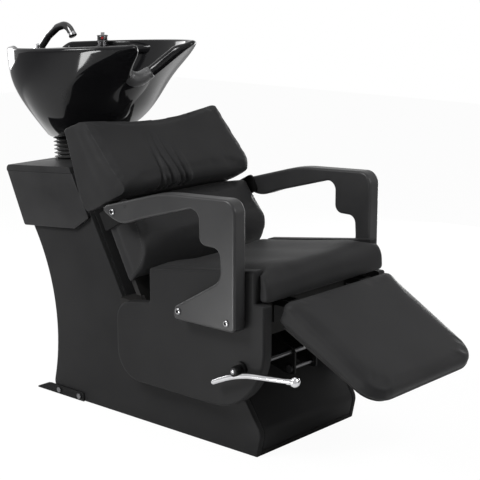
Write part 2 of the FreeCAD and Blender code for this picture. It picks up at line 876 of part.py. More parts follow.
def make_hinge_bracket():
    """Plate on the seat rail with two lugs that hold the hinge pin."""
    inner = hinge_leaf_width / 2 + hinge_lug_gap
    outer = inner + hinge_lug_thickness
    plate_y = seat_board_front_y - hinge_plate_thickness
    top_z = leg_hinge_z + hinge_knuckle_radius
    bracket = box(
        (hinge_x - outer, plate_y, top_z - hinge_plate_height),
        (hinge_x + outer, seat_board_front_y, top_z),
    )
    for low_x in (hinge_x - outer, hinge_x + inner):
        high_x = low_x + hinge_lug_thickness
        arm_piece = box((low_x, leg_hinge_y, leg_hinge_z - hinge_knuckle_radius), (high_x, plate_y, top_z))
        eye = across(hinge_knuckle_radius, low_x, high_x, leg_hinge_y, leg_hinge_z)
        bracket = bracket.fuse([arm_piece, eye])
    bore = across(hinge_pin_radius + running_clearance, -far, far, leg_hinge_y, leg_hinge_z)
    return bracket.removeSplitter().cut(bore)


def make_hinge_pin():
    """Headed pin through the lugs and the leaf."""
    reach = hinge_leaf_width / 2 + hinge_lug_gap + hinge_lug_thickness
    pin = across(hinge_pin_radius, hinge_x - reach, hinge_x + reach, leg_hinge_y, leg_hinge_z)
    for low_x in (hinge_x - reach - hinge_pin_head, hinge_x + reach):
        high_x = low_x + hinge_pin_head
        pin = pin.fuse(across(hinge_knuckle_radius, low_x, high_x, leg_hinge_y, leg_hinge_z))
    return pin.removeSplitter()


for name, piece in (
    ("leg_hinge_leaves", make_leaf()),
    ("leg_hinge_brackets", make_hinge_bracket()),
    ("leg_hinge_pins", make_hinge_pin()),
):
    write(name, [piece, mirrored(piece)])

# Release lever, its ball, cross shaft, flange and brackets

LEVER_PIVOT = VECTOR(lever_x, lever_pivot_y, lever_pivot_z)


def pipe(points, bend_radius, radius):
    """Round bar along points, with tangent arcs at its bends."""
    edges = []
    here = points[0]
    for i in range(1, len(points) - 1):
        to_last = (points[i - 1] - points[i]).normalize()
        to_next = (points[i + 1] - points[i]).normalize()
        half = to_last.getAngle(to_next) / 2
        enter = points[i] + to_last * (bend_radius / math.tan(half))
        leave = points[i] + to_next * (bend_radius / math.tan(half))
        crest = points[i] + (to_last + to_next).normalize() * (bend_radius / math.sin(half) - bend_radius)
        edges.append(Part.LineSegment(here, enter).toShape())
        edges.append(Part.Arc(enter, crest, leave).toShape())
        here = leave
    edges.append(Part.LineSegment(here, points[-1]).toShape())
    path = Part.Wire(edges)
    start = (points[1] - points[0]).normalize()
    ring = Part.Wire([Part.Circle(points[0], start, radius).toShape()])
    return path.makePipeShell([ring], True, True)


lever_points = [
    VECTOR(lever_x, lever_tail_y, lever_tail_z),
    VECTOR(lever_x, lever_bend_y, lever_bend_z),
    VECTOR(lever_x, lever_tip_y, lever_tip_z),
]
lever_bar = pipe(lever_points, lever_bend_radius, lever_bar_radius)
hub_low_x = lever_x - lever_hub_length / 2
hub = across(lever_hub_radius, hub_low_x, hub_low_x + lever_hub_length, lever_pivot_y, lever_pivot_z)
shaft_low_x = hub_low_x + lever_hub_cap
shaft_bore = across(shaft_hole_radius, shaft_low_x, far, lever_pivot_y, lever_pivot_z)
write("release_lever", lever_bar.fuse(hub).removeSplitter().cut(shaft_bore))

tip_way = (lever_points[2] - lever_points[1]).normalize()
neck = rod(lever_neck_radius, lever_points[2], tip_way, lever_ball_neck + lever_ball_radius)
ball = Part.makeSphere(lever_ball_radius, lever_points[2] + tip_way * (lever_ball_neck + lever_ball_radius))
write("lever_ball", neck.fuse(ball).removeSplitter())

shaft = across(lever_shaft_radius, shaft_low_x, lever_shaft_end_x, lever_pivot_y, lever_pivot_z)
finger_low_x = release_finger_x - release_finger_thickness / 2
finger = box(
    (finger_low_x, lever_pivot_y - release_finger_width / 2, lever_pivot_z),
    (finger_low_x + release_finger_thickness, lever_pivot_y + release_finger_width / 2,
     lever_pivot_z + release_finger_length),
)
write("lever_shaft", shaft.fuse(finger).removeSplitter())

flange_low_x = -arm_inner_x - lever_flange_thickness
flange = across(lever_flange_radius, flange_low_x, -arm_inner_x, lever_pivot_y, lever_pivot_z)
write("lever_flange", flange.cut(lever_hole))


def slope_y(z):
    """Where the plinth's sloping front is at a height."""
    return ledge_front_y - (ledge_z - z) * (ledge_front_y - plinth_nose_y) / (ledge_z - plinth_nose_z)


def make_release_bracket(low_x):
    """Plate bracket on the plinth's slope, with an eye for the shaft and one for the tie bolt."""
    eye = release_bracket_eye
    corners = [
        (slope_y(release_bolt_z), release_bolt_z, 0),
        (slope_y(release_bolt_z + release_bracket_foot), release_bolt_z + release_bracket_foot, 0),
        (lever_pivot_y, lever_pivot_z + eye, eye / 2),
        (lever_pivot_y - eye, lever_pivot_z, eye / 2),
        (lever_pivot_y - eye, release_bolt_z - eye, eye / 2),
        (lever_pivot_y + eye, release_bolt_z - eye, eye / 2),
    ]
    plate = panel(corners, low_x, low_x + release_bracket_thickness)
    bolt_bore = across(release_bolt_radius + bolt_clearance, -far, far, lever_pivot_y, release_bolt_z)
    return plate.cut([lever_hole, bolt_bore])


write("release_brackets", [make_release_bracket(x) for x in release_bracket_xs])
tie_low_x = release_bracket_xs[0] - release_bolt_head
tie_high_x = release_bracket_xs[1] + release_bracket_thickness
tie_bolt = across(release_bolt_radius, release_bracket_xs[0], tie_high_x, lever_pivot_y, release_bolt_z)
for low_x in (tie_low_x, tie_high_x):
    high_x = low_x + release_bolt_head
    tie_bolt = tie_bolt.fuse(across(release_bolt_head_radius, low_x, high_x, lever_pivot_y, release_bolt_z))
write("release_tie_bolt", tie_bolt.removeSplitter())

# Basin: a lofted bowl with a deck at the rear and a neck notch at the front

UP = VECTOR(0, 0, 1)


def oval(centre_y, z, half_length, half_width):
    """Level oval wire, longer along Y."""
    turn = FreeCAD.Rotation(UP, 90) if half_length > half_width else FreeCAD.Rotation()
    major, minor = sorted((half_length, half_width), reverse=True)
    wire = Part.Wire([Part.Ellipse(VECTOR(0, 0, 0), major, minor).toShape()])
    wire.Placement = FreeCAD.Placement(VECTOR(0, centre_y, z), turn)
    return wire


def risen_loft(wires, rise):
    """Solid through wires, carried straight up above the last by a rise."""
    shape = Part.makeLoft(wires, True)
    if rise > 0:
        shape = shape.fuse(Part.Face(wires[-1]).extrude(UP * rise))
    return shape


def front_waste(inset, rise):
    """Block before the basin's leaning front, which is drawn in by an inset."""
    front_run = basin_front_y * (1 - basin_front_shares[0][1]) / (basin_rim_z - basin_foot_z)
    middle_y = basin_front_half_length + inset * math.hypot(1, front_run)
    wires = [
        oval(basin_front_y * forward + middle_y, z, basin_front_half_length, basin_front_half_width)
        for forward, z in (
            (forward, basin_foot_z + (basin_rim_z - basin_foot_z) * up) for up, forward in basin_front_shares
        )
    ]
    block = box((-far, -far, basin_foot_z), (far, 0, basin_rim_z + rise))
    return block.cut(risen_loft(wires, rise))


def bowl(inset, foot_z, foot_radius, rise):
    """Bowl solid from its foot to its rim, drawn in by an inset and carried on above by a rise."""
    wires = []
    for (up_share, long_share, wide_share), shift in zip(basin_profile_shares, basin_shift_shares):
        z = foot_z + (basin_rim_z - foot_z) * up_share
        length = foot_radius + (basin_rim_half_length - inset - foot_radius) * long_share
        width = foot_radius + (basin_rim_half_width - inset - foot_radius) * wide_share
        wires.append(oval(basin_rim_y * shift, z, length, width))
    return risen_loft(wires, rise).cut(front_waste(inset, rise))


def notch_outline(inset):
    """Corners of the neck notch across the basin, drawn in by an inset."""
    flare = (notch_half_width - notch_floor_half_width) / notch_depth
    side_inset = inset * math.hypot(1, flare)
    top_z = basin_rim_z + overrun
    half = notch_half_width + flare * overrun - side_inset
    low_half = notch_floor_half_width + flare * inset - side_inset
    floor_z = basin_rim_z - notch_depth + inset
    return [
        (-half, top_z, 0),
        (-low_half, floor_z, notch_radius - inset),
        (low_half, floor_z, notch_radius - inset),
        (half, top_z, 0),
    ]


def notch_prism(inset):
    """Solid of the neck notch, from before the basin's front to its middle."""
    front_y = basin_rim_y - basin_rim_half_length - overrun
    place = in_frame(VECTOR(0, front_y, 0), ALONG_X, UP)
    return prism(notch_outline(inset), place, VECTOR(0, basin_rim_y - front_y, 0))


deck_z = basin_rim_z - deck_drop
stem_rise = math.radians(handset_rise)
STEM = VECTOR(0, -math.cos(stem_rise), math.sin(stem_rise))
HANDSET_START = VECTOR(handset_x, *handset_start)
SOCKET_MOUTH = HANDSET_START + STEM * ((deck_z - handset_start[1]) / math.sin(stem_rise))


def make_basin():
    """Ceramic basin about its tilt pivot."""
    outer = bowl(0, basin_foot_z, basin_foot_radius, 0)
    cavity = bowl(basin_wall, basin_foot_z + basin_floor, basin_foot_radius - basin_wall * 2, overrun)
    deck = box((-far, basin_rim_y, deck_z - deck_thickness), (far, far, deck_z))
    opening = oval(basin_rim_y, 0, deck_opening_half_length, deck_opening_half_width)
    deck = deck.cut(Part.Face(opening).extrude(UP * far))
    basin = outer.cut(cavity.cut(deck)).cut(notch_prism(0))
    waste = rod(waste_hole_radius, VECTOR(0, 0, 0), UP, far)
    socket_hole = rod(socket_radius + bolt_clearance, SOCKET_MOUTH - STEM * overrun, STEM, far)
    mixer_foot = VECTOR(mixer_x, mixer_y, deck_z - overrun)
    mixer_hole = rod(mixer_shank_radius + bolt_clearance, mixer_foot, UP, far)
    return basin.cut([waste, socket_hole, mixer_hole])


write("basin", with_basin(make_basin()))


def make_neck_pad():
    """Rubber saddle that lines the lower part of the notch and wraps the wall there."""
    pad = notch_prism(soft_clearance).cut(notch_prism(neck_pad_thickness))
    lap = neck_pad_lap
    inner_radius = basin_foot_radius - basin_wall * 2 - lap
    wrap = bowl(-lap, basin_foot_z, basin_foot_radius, 0)
    wrap = wrap.cut(bowl(basin_wall + lap, basin_foot_z + basin_floor, inner_radius, 0))
    pad_top_z = basin_rim_z - notch_depth + neck_pad_height
    return pad.common(wrap).cut(box((-far, -far, pad_top_z), (far, far, far)))


write("neck_rest", with_basin(make_neck_pad()))

# Waste: strainer in the bowl and tail below it

bowl_floor_z = basin_foot_z + basin_floor
strainer = rod(strainer_radius, VECTOR(0, 0, bowl_floor_z), UP, strainer_thickness)
strainer = strainer.makeFillet(
    strainer_thickness * bolt_dome_share, [e for e in strainer.Edges if e.BoundBox.ZMin > bowl_floor_z]
)
ring_radius = strainer_radius * strainer_hole_ring_share
holes = [
    rod(strainer_hole_radius, VECTOR(ring_radius * math.cos(t), ring_radius * math.sin(t), 0), UP, far)
    for t in (2 * math.pi * i / strainer_holes for i in range(strainer_holes))
]
write("waste_strainer", with_basin(strainer.cut(holes)))
tail = rod(tail_radius, VECTOR(0, 0, -tail_drop), UP, tail_drop + bowl_floor_z)
nut_z = basin_foot_z - saddle_thickness - tail_nut_height
tail = tail.fuse(rod(tail_nut_radius, VECTOR(0, 0, nut_z), UP, tail_nut_height)).removeSplitter()
tail_bore = rod(tail_radius - tail_wall, VECTOR(0, 0, -far), UP, far * 2)
write("waste_tail", with_basin(tail.cut(tail_bore)))

# Tilt trunnion: saddle under the basin, bracket on the shelf, and two pins

saddle_hole = rod(waste_hole_radius - tail_wall, VECTOR(0, 0, -far), UP, far * 2)
trunnion_bore = across(trunnion_pin_radius + running_clearance, -far, far, 0, 0)


def ear(low_x, foot_z):
    """Upright ear from a plate to the pivot, rounded about it."""
    low_z, high_z = sorted((0, foot_z))
    post = box((low_x, -ear_radius, low_z), (low_x + ear_thickness, ear_radius, high_z))
    return post.fuse(across(ear_radius, low_x, low_x + ear_thickness, 0, 0))


saddle_low_z = basin_foot_z - saddle_thickness
saddle_ear = ear(ear_x, saddle_low_z)
saddle = rod(saddle_radius, VECTOR(0, 0, saddle_low_z), UP, saddle_thickness)
saddle = saddle.cut(saddle_hole).fuse([saddle_ear, mirrored(saddle_ear)]).removeSplitter()
write("tilt_saddle", with_basin(saddle.cut(trunnion_bore)))
bracket_ear_x = ear_x + ear_thickness + ear_gap
tilt_ear = ear(bracket_ear_x, tilt_plate_thickness - shelf_drop)
tilt_plate = rod(tilt_plate_radius, VECTOR(0, 0, -shelf_drop), UP, tilt_plate_thickness)
tilt_plate = tilt_plate.cut(rod(shelf_waste_hole_radius, VECTOR(0, 0, -far), UP, far * 2))
tilt_bracket = tilt_plate.fuse([tilt_ear, mirrored(tilt_ear)]).removeSplitter()
write("tilt_bracket", tipped(tilt_bracket.cut(trunnion_bore)))
pin_end_x = bracket_ear_x + ear_thickness
pin = across(trunnion_pin_radius, ear_x, pin_end_x, 0, 0)
pin_head = across(trunnion_pin_head_radius, pin_end_x, pin_end_x + trunnion_pin_head, 0, 0)
pin = pin.fuse(pin_head).removeSplitter()
write("tilt_pins", [tipped(pin), tipped(mirrored(pin))])

# Bellows: ribbed rubber sleeve round the trunnion


def ring_wire(radius, z):
    """Circle round the pivot's upright, turned from the shelf's tilt to the basin's on its way up."""
    turn = (upper_tilt - basin_tilt) * (z + shelf_drop) / (basin_foot_z + shelf_drop)
    wire = Part.Wire([Part.Circle(VECTOR(0, 0, z), UP, radius).toShape()])
    wire.rotate(VECTOR(0, 0, z), ALONG_X, turn)
    return wire


def make_bellows():
    """Ribbed sleeve from the shelf to the basin's foot."""
    low_z = soft_clearance - shelf_drop
    high_z = basin_foot_z - soft_clearance
    pitch = (high_z - low_z - bellows_collar * 2) / bellows_ribs
    radii = (bellows_root_radius, bellows_crest_radius, bellows_crest_radius, bellows_root_radius)
    rings = [ring_wire(bellows_crest_radius, low_z + rise) for rise in (0, bellows_collar)]
    for i in range(bellows_ribs):
        start = low_z + bellows_collar + pitch * i
        rings += [ring_wire(r, start + pitch * s) for r, s in zip(radii, bellows_rib_shares)]
    rings += [ring_wire(bellows_crest_radius, high_z - drop) for drop in (bellows_collar, 0)]
    sleeve = Part.makeLoft(rings, True, True)
    return sleeve.cut(rod(bellows_bore_radius, VECTOR(0, 0, -far), UP, far * 2))


write("bellows", tipped(make_bellows()))

# Handset and socket

socket_low = SOCKET_MOUTH - STEM * socket_sink
socket = rod(socket_radius, socket_low, STEM, socket_length)
socket = socket.cut(rod(handset_radius + socket_clearance, socket_low - STEM * overrun, STEM, far))
write("handset_socket", with_basin(socket))


def forward_rise(length, degrees):
    """Step forward and up at a slope."""
    angle = math.radians(degrees)
    return VECTOR(0, -length * math.cos(angle), length * math.sin(angle))


handset_points = [HANDSET_START]
for length, degrees in (
    (handset_stem, handset_rise),
    (handset_head, handset_head_rise),
    (handset_tip, -handset_tip_fall),
):
    handset_points.append(handset_points[-1] + forward_rise(length, degrees))
handset = pipe(handset_points, handset_bend_radius, handset_radius)
spray_way = forward_rise(1, -handset_tip_fall)
spray = Part.makeCone(handset_radius, spray_radius, spray_length, handset_points[-1], spray_way)
write("handset", with_basin(handset.fuse(spray).removeSplitter()))

# Mixer tap: body on the deck, turning cap, lifting lever

MIXER = VECTOR(mixer_x, mixer_y, deck_z)
body_top = mixer_base_height + mixer_body_height
mixer_body = rod(mixer_base_radius, MIXER, UP, mixer_base_height).fuse([
    rod(mixer_body_radius, MIXER, UP, body_top),
    rod(mixer_shank_radius, MIXER - UP * mixer_shank_length, UP, mixer_shank_length),
])
write("mixer_body", with_basin(mixer_body.removeSplitter()))

CAP = MIXER + UP * (body_top + mixer_gap)
PIN = CAP + UP * (mixer_cap_height * mixer_pin_height_share)


def mixer_pin(radius):
    """Pin across the cap, about which the lever lifts."""
    reach = mixer_cap_radius * mixer_pin_reach_share
    return rod(radius, PIN - ALONG_X * reach, ALONG_X, reach * 2)


def make_cap():
    """Domed cap with a slot for the lever and a seat for the indicator."""
    cap = rod(mixer_cap_radius, CAP, UP, mixer_cap_height)
    cap = cap.makeFillet(mixer_cap_dome, [e for e in cap.Edges if e.BoundBox.ZMin > CAP.z])
    half = mixer_slot_width / 2
    slot = box(
        (mixer_x - half, mixer_y - mixer_lever_thickness, PIN.z - mixer_lever_thickness),
        (mixer_x + half, mixer_y + far, CAP.z + far),
    )
    return cap.cut([slot, mixer_pin(mixer_pin_radius), indicator_plug(indicator_radius + bolt_clearance)])


def indicator_plug(radius):
    """Round indicator let into the front of the cap."""
    depth = indicator_thickness * 2
    start = PIN - VECTOR(0, mixer_cap_radius + indicator_thickness, 0)
    return rod(radius, start, VECTOR(0, 1, 0), depth)


def make_mixer_lever():
    """Flat lever that rises rearward from its pin."""
    half = mixer_lever_thickness / 2
    corners = [
        (0, -half, 0),
        (mixer_lever_length, mixer_lever_rise - half, half * bolt_dome_share),
        (mixer_lever_length, mixer_lever_rise + half, half * bolt_dome_share),
        (0, half, 0),
    ]
    width = mixer_slot_width - mixer_gap * 2
    place = in_frame(PIN - ALONG_X * (width / 2), VECTOR(0, 1, 0), UP)
    boss = rod(half, PIN - ALONG_X * (width / 2), ALONG_X, width)
    lever = prism(corners, place, ALONG_X * width).fuse(boss)
    return lever.removeSplitter().cut(mixer_pin(mixer_pin_radius + running_clearance))


def turned(shape):
    """A piece of the tap's top, turned about the tap's upright."""
    placed = shape.copy()
    placed.rotate(MIXER, UP, -mixer_turn)
    return with_basin(placed)


write("mixer_cap", turned(make_cap()))
write("mixer_lever", turned(make_mixer_lever()))
write("mixer_lever_pin", turned(mixer_pin(mixer_pin_radius)))
write("mixer_indicator", turned(indicator_plug(indicator_radius)))

# Floor brackets and their screws


def make_foot_bracket():
    """Strap on the plinth's side with a floor flange behind it."""
    outer_x = column_half_width + foot_strap_thickness
    strap = panel(
        [
            (foot_strap_front_y, 0, 0),
            (foot_flange_rear_y, 0, 0),
            (foot_flange_rear_y, foot_strap_thickness, 0),
            (foot_flange_front_y, foot_strap_height, foot_strap_thickness),
            (foot_strap_front_y, foot_strap_height, foot_strap_thickness),
        ],
        column_half_width,
        outer_x,
    )
    flange_piece = box(
        (outer_x - foot_flange_width, foot_flange_front_y, 0),
        (outer_x, foot_flange_rear_y, foot_strap_thickness),
    )
    hole = rod(foot_hole_radius, VECTOR(outer_x - foot_flange_width / 2, foot_hole_y, -overrun), UP, far)
    screw_radius = foot_screw_radius + bolt_clearance
    screws = [across(screw_radius, 0, far, y, foot_strap_height / 2) for y in foot_screw_ys]
    return strap.fuse(flange_piece).removeSplitter().cut([hole] + screws)


foot_screw_span = foot_flange_front_y - foot_strap_front_y
foot_screw_ys = [foot_strap_front_y + foot_screw_span * s for s in foot_screw_y_shares]
foot_bracket = make_foot_bracket()
write("floor_brackets", [foot_bracket, mirrored(foot_bracket)])
strap_face_x = column_half_width + foot_strap_thickness
foot_screws = []
for y in foot_screw_ys:
    head_end_x = strap_face_x + foot_screw_head
    head = across(foot_screw_head_radius, strap_face_x, head_end_x, y, foot_strap_height / 2)
    shank = across(foot_screw_radius, column_half_width, strap_face_x, y, foot_strap_height / 2)
    foot_screws.append(head.fuse(shank).removeSplitter())
write("floor_bracket_screws", foot_screws + [mirrored(screw) for screw in foot_screws])
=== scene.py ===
"""Looks of a salon backwash unit: upholstery, glazed basin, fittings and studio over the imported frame."""
import json
import logging
import math
from collections.abc import Iterator
from contextlib import contextmanager
from dataclasses import dataclass
from enum import Enum

import bpy
import numpy as np
from bpy.types import Material, Node, NodeSocket, Object
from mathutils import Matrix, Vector


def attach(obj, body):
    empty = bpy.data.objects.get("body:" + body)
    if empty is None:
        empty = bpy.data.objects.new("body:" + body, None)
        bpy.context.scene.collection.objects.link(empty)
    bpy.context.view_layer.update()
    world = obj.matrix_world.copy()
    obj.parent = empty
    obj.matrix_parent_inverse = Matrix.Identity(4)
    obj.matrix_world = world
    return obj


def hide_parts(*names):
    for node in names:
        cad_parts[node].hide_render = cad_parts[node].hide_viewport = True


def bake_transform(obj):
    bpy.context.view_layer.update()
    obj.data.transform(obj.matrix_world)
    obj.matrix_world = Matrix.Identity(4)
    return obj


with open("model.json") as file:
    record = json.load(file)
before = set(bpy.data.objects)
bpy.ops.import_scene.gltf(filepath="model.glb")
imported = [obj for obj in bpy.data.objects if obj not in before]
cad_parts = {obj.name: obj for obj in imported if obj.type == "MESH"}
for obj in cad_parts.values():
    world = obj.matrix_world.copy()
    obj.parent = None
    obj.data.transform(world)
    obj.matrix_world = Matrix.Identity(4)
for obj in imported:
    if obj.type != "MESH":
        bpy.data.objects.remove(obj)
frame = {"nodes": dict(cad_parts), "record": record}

LOG = logging.getLogger("backwash_unit")
SIDEWAYS = np.array([1.0, 0.0, 0.0])
SIDES = (-1.0, 1.0)
Array = np.ndarray
Colour = tuple[float, float, float]
Place = tuple[float, float, float]
Profile = tuple[tuple[float, float], ...]


# Finishes


class Wiring:
    """The node tree of one material, with short calls to add and join nodes."""

    def __init__(self, name: str) -> None:
        """Starts a material with its shader.

        Args:
            name: the material's name.
        """
        self.material = bpy.data.materials.new(name)
        self.material.use_nodes = True
        self.tree = self.material.node_tree
        self.shader = self.tree.nodes["Principled BSDF"]
        self.place = self.add("ShaderNodeTexCoord").outputs["Object"]

    def add(self, kind: str, **sockets: float | Colour) -> Node:
        """Adds a node.

        Args:
            kind: the node's type.
            sockets: values for its inputs, with underscores for spaces.

        Returns:
            The node.
        """
        node = self.tree.nodes.new(kind)
        for name, value in sockets.items():
            node.inputs[name.replace("_", " ")].default_value = value
        return node

    def join(self, start: NodeSocket, end: NodeSocket) -> None:
        """Joins an output to an input."""
        self.tree.links.new(start, end)

    def set(self, **sockets: float | Colour) -> None:
        """Sets constant values on the shader's own sockets."""
        for name, value in sockets.items():
            full = (*value, 1.0) if isinstance(value, tuple) else value
            self.shader.inputs[name.replace("_", " ")].default_value = full

    def noise(self, scale: float, detail: float = 3.0) -> NodeSocket:
        """Noise over the object's own coordinates.

        Args:
            scale: features per metre.
            detail: octaves.

        Returns:
            The noise's factor.
        """
        node = self.add("ShaderNodeTexNoise", Scale=scale, Detail=detail)
        self.join(self.place, node.inputs["Vector"])
        return node.outputs["Fac"]

    def cells(self, scale: float) -> NodeSocket:
        """Distance to the edge of a grain cell.

        Args:
            scale: cells per metre.

        Returns:
            The distance.
        """
        node = self.add("ShaderNodeTexVoronoi", Scale=scale)
        node.feature = "DISTANCE_TO_EDGE"
        self.join(self.place, node.inputs["Vector"])
        return node.outputs["Distance"]

    def ramp(self, factor: NodeSocket, low: float, high: float) -> NodeSocket:
        """Maps a factor onto a range.

        Args:
            factor: the factor, from 0 to 1.
            low: the value at 0.
            high: the value at 1.

        Returns:
            The mapped value.
        """
        node = self.add("ShaderNodeMapRange", To_Min=low, To_Max=high)
        self.join(factor, node.inputs["Value"])
        return node.outputs["Result"]

    def tint(self, factor: NodeSocket, low: Colour, high: Colour) -> None:
        """Varies the base colour between two by a factor."""
        node = self.add("ShaderNodeValToRGB")
        for stop, colour, position in zip(node.color_ramp.elements, (low, high), (0.3, 0.7)):
            stop.color = (*colour, 1.0)
            stop.position = position
        self.join(factor, node.inputs["Fac"])
        self.join(node.outputs["Color"], self.shader.inputs["Base Color"])

    def rough(self, factor: NodeSocket, low: float, high: float) -> None:
        """Varies the roughness between two values by a factor."""
        self.join(self.ramp(factor, low, high), self.shader.inputs["Roughness"])

    def bump(self, *heights: tuple[NodeSocket, float, float]) -> None:
        """Stacks bumps, each of a height, a strength and a depth in metres."""
        last = None
        for height, strength, depth in heights:
            node = self.add("ShaderNodeBump", Strength=strength, Distance=depth)
            self.join(height, node.inputs["Height"])
            if last is not None:
                self.join(last.outputs["Normal"], node.inputs["Normal"])
            last = node
        self.join(last.outputs["Normal"], self.shader.inputs["Normal"])


@dataclass(frozen=True)
class Vinyl:
    """Matte black upholstery vinyl with a fine pressed grain."""

    name: str = "black_vinyl"
    dark: Colour = (0.0120, 0.0120, 0.0124)
    light: Colour = (0.0155, 0.0155, 0.0159)
    grain_per_metre: float = 850.0

    def make(self) -> Material:
        """Builds the material."""
        wiring = Wiring(self.name)
        wiring.set(Specular_IOR_Level=0.055, Sheen_Weight=0.01, Sheen_Roughness=0.5)
        broad = wiring.noise(9.0)
        fine = wiring.noise(1600.0, 2.0)
        wiring.tint(broad, self.dark, self.light)
        wiring.rough(broad, 0.46, 0.58)
        grain = wiring.ramp(wiring.cells(self.grain_per_metre), 0.0, 2.5)
        wiring.bump((grain, 0.22, 0.0004), (fine, 0.12, 0.0003))
        return wiring.material


@dataclass(frozen=True)
class Moulding:
    """Plastic, laminate, rubber or paint with a light texture."""

    name: str
    dark: Colour
    light: Colour
    rough_low: float
    rough_high: float
    specular: float = 0.5

    def make(self) -> Material:
        """Builds the material."""
        wiring = Wiring(self.name)
        wiring.set(Specular_IOR_Level=self.specular)
        broad = wiring.noise(14.0)
        wiring.tint(broad, self.dark, self.light)
        wiring.rough(wiring.noise(60.0), self.rough_low, self.rough_high)
        wiring.bump((wiring.noise(2200.0, 2.0), 0.10, 0.0003))
        return wiring.material


@dataclass(frozen=True)
class Glaze:
    """Glossy black glaze over ceramic, with a faint unevenness."""

    name: str = "black_ceramic"
    body: Colour = (0.0035, 0.0035, 0.004)
    shade: Colour = (0.006, 0.006, 0.0065)

    def make(self) -> Material:
        """Builds the material."""
        wiring = Wiring(self.name)
        wiring.set(Specular_IOR_Level=0.17)
        wiring.tint(wiring.noise(6.0), self.body, self.shade)
        wiring.rough(wiring.noise(25.0), 0.05, 0.09)
        wiring.bump((wiring.noise(18.0, 1.0), 0.02, 0.002))
        return wiring.material


@dataclass(frozen=True)
class Metal:
    """Plated or plain metal with a fine orange peel."""

    name: str
    dark: Colour
    light: Colour
    rough_low: float
    rough_high: float
    peel_per_metre: float = 500.0

    def make(self) -> Material:
        """Builds the material."""
        wiring = Wiring(self.name)
        wiring.set(Metallic=1.0)
        wiring.tint(wiring.noise(30.0), self.dark, self.light)
        wiring.rough(wiring.noise(90.0), self.rough_low, self.rough_high)
        wiring.bump((wiring.noise(self.peel_per_metre, 2.0), 0.04, 0.0002))
        return wiring.material


class Finish(Enum):
    """The unit's finishes, by the record's material slot."""

    VINYL = Vinyl()
    COVERED_BOARD = Vinyl("covered_board", (0.0094, 0.0094, 0.0097), (0.0120, 0.0120, 0.0123), 700.0)
    SHELF = Moulding("shelf_laminate", (0.0098, 0.0098, 0.0102), (0.0135, 0.0135, 0.0139), 0.36, 0.46, 0.12)
    BOARD = Moulding("bare_board", (0.006, 0.006, 0.006), (0.010, 0.0095, 0.009), 0.6, 0.75, 0.1)
    ARM = Moulding("arm_plastic", (0.0150, 0.0150, 0.0155), (0.0195, 0.0195, 0.0200), 0.34, 0.44, 0.18)
    GLAZE = Glaze()
    NECK_RUBBER = Moulding("neck_rubber", (0.028, 0.028, 0.029), (0.036, 0.036, 0.037), 0.38, 0.5, 0.4)
    BELLOWS_RUBBER = Moulding("bellows_rubber", (0.008, 0.008, 0.008), (0.014, 0.014, 0.014), 0.45, 0.6, 0.4)
    CHROME = Metal("bright_chrome", (0.42, 0.42, 0.43), (0.52, 0.52, 0.53), 0.06, 0.12)
    # Bright chrome with painted dark reflections in a darker base colour.
    CHROME_PAINTED_DARK = Metal("chrome_painted_dark", (0.16, 0.16, 0.165), (0.22, 0.22, 0.225), 0.10, 0.18)
    # Black steel parts, and also painted shade in the bolt sockets and the arm dimples.
    BLACK_STEEL_AND_PAINTED_SHADE = Moulding("black_steel", (0.003, 0.003, 0.0031), (0.005, 0.005, 0.0051), 0.42, 0.54, 0.08)
    BLACK_GLOSS = Moulding("black_gloss", (0.005, 0.005, 0.0055), (0.008, 0.008, 0.0085), 0.06, 0.12)
    PLAIN_STEEL = Metal("plain_steel", (0.10, 0.10, 0.104), (0.15, 0.15, 0.154), 0.26, 0.38)
    WASTE_PLASTIC = Moulding("waste_plastic", (0.02, 0.02, 0.02), (0.03, 0.03, 0.03), 0.4, 0.5)
    RED = Moulding("red_indicator", (0.13, 0.008, 0.009), (0.17, 0.012, 0.013), 0.15, 0.22, 0.3)
    THREAD = Moulding("thread", (0.034, 0.034, 0.035), (0.044, 0.044, 0.045), 0.5, 0.6, 0.1)

    @property
    def slot(self) -> str:
        """The record's material slot that this finish belongs to."""
        name = self.value.name
        # The chrome with painted dark reflections counts as bright chrome, and the thread as black vinyl.
        return {"chrome_painted_dark": "bright_chrome", "thread": "black_vinyl"}.get(name, name)


class Dresser:
    """Makes each finish once and puts it on pieces and carried-over nodes."""

    def __init__(self) -> None:
        """Builds every finish."""
        self.made = {finish: finish.value.make() for finish in Finish}

    def dress(self, piece: Object, finish: Finish) -> None:
        """Gives a piece one finish all over.

        Args:
            piece: the mesh object.
            finish: its finish.
        """
        piece.data.materials.clear()
        piece.data.materials.append(self.made[finish])

    def dress_nodes(self) -> None:
        """Gives every carried-over node the finish of its material slot."""
        by_slot = {finish.value.name: finish for finish in Finish}
        for row in frame["record"]["subparts"]:
            node = frame["nodes"][row["node"]]
            self.dress(node, by_slot[row["material_slot"]])
        # The mixer body gets the chrome with painted dark reflections.
        for node, finish in (("leg_hinge_pins", Finish.BLACK_STEEL_AND_PAINTED_SHADE), ("mixer_body", Finish.CHROME_PAINTED_DARK)):
            self.dress(frame["nodes"][node], finish)

    def deliver(
        self, piece: Object, finish: Finish, body: str | None, *nodes: str, edge: float = 180.0
    ) -> None:
        """Shades and dresses a new piece, rides it on its body and stands it for its nodes.

        Args:
            piece: the finished mesh object.
            finish: its finish.
            body: the body that it moves with, or None for one that rides on no body.
            nodes: the nodes that it replaces.
            edge: degrees from which its edges are shaded sharp.
        """
        alone(piece)
        bpy.ops.object.shade_smooth_by_angle(angle=math.radians(edge))
        self.dress(piece, finish)
        if body is not None:
            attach(piece, body)
        if nodes:
            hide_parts(*nodes)
        LOG.info("%s: %d faces, on %s", piece.name, len(piece.data.polygons), body or "two bodies")


# Modelling helpers


def alone(piece: Object) -> None:
    """Selects one object alone and makes it active."""
    bpy.ops.object.select_all(action="DESELECT")
    piece.select_set(True)
    bpy.context.view_layer.objects.active = piece


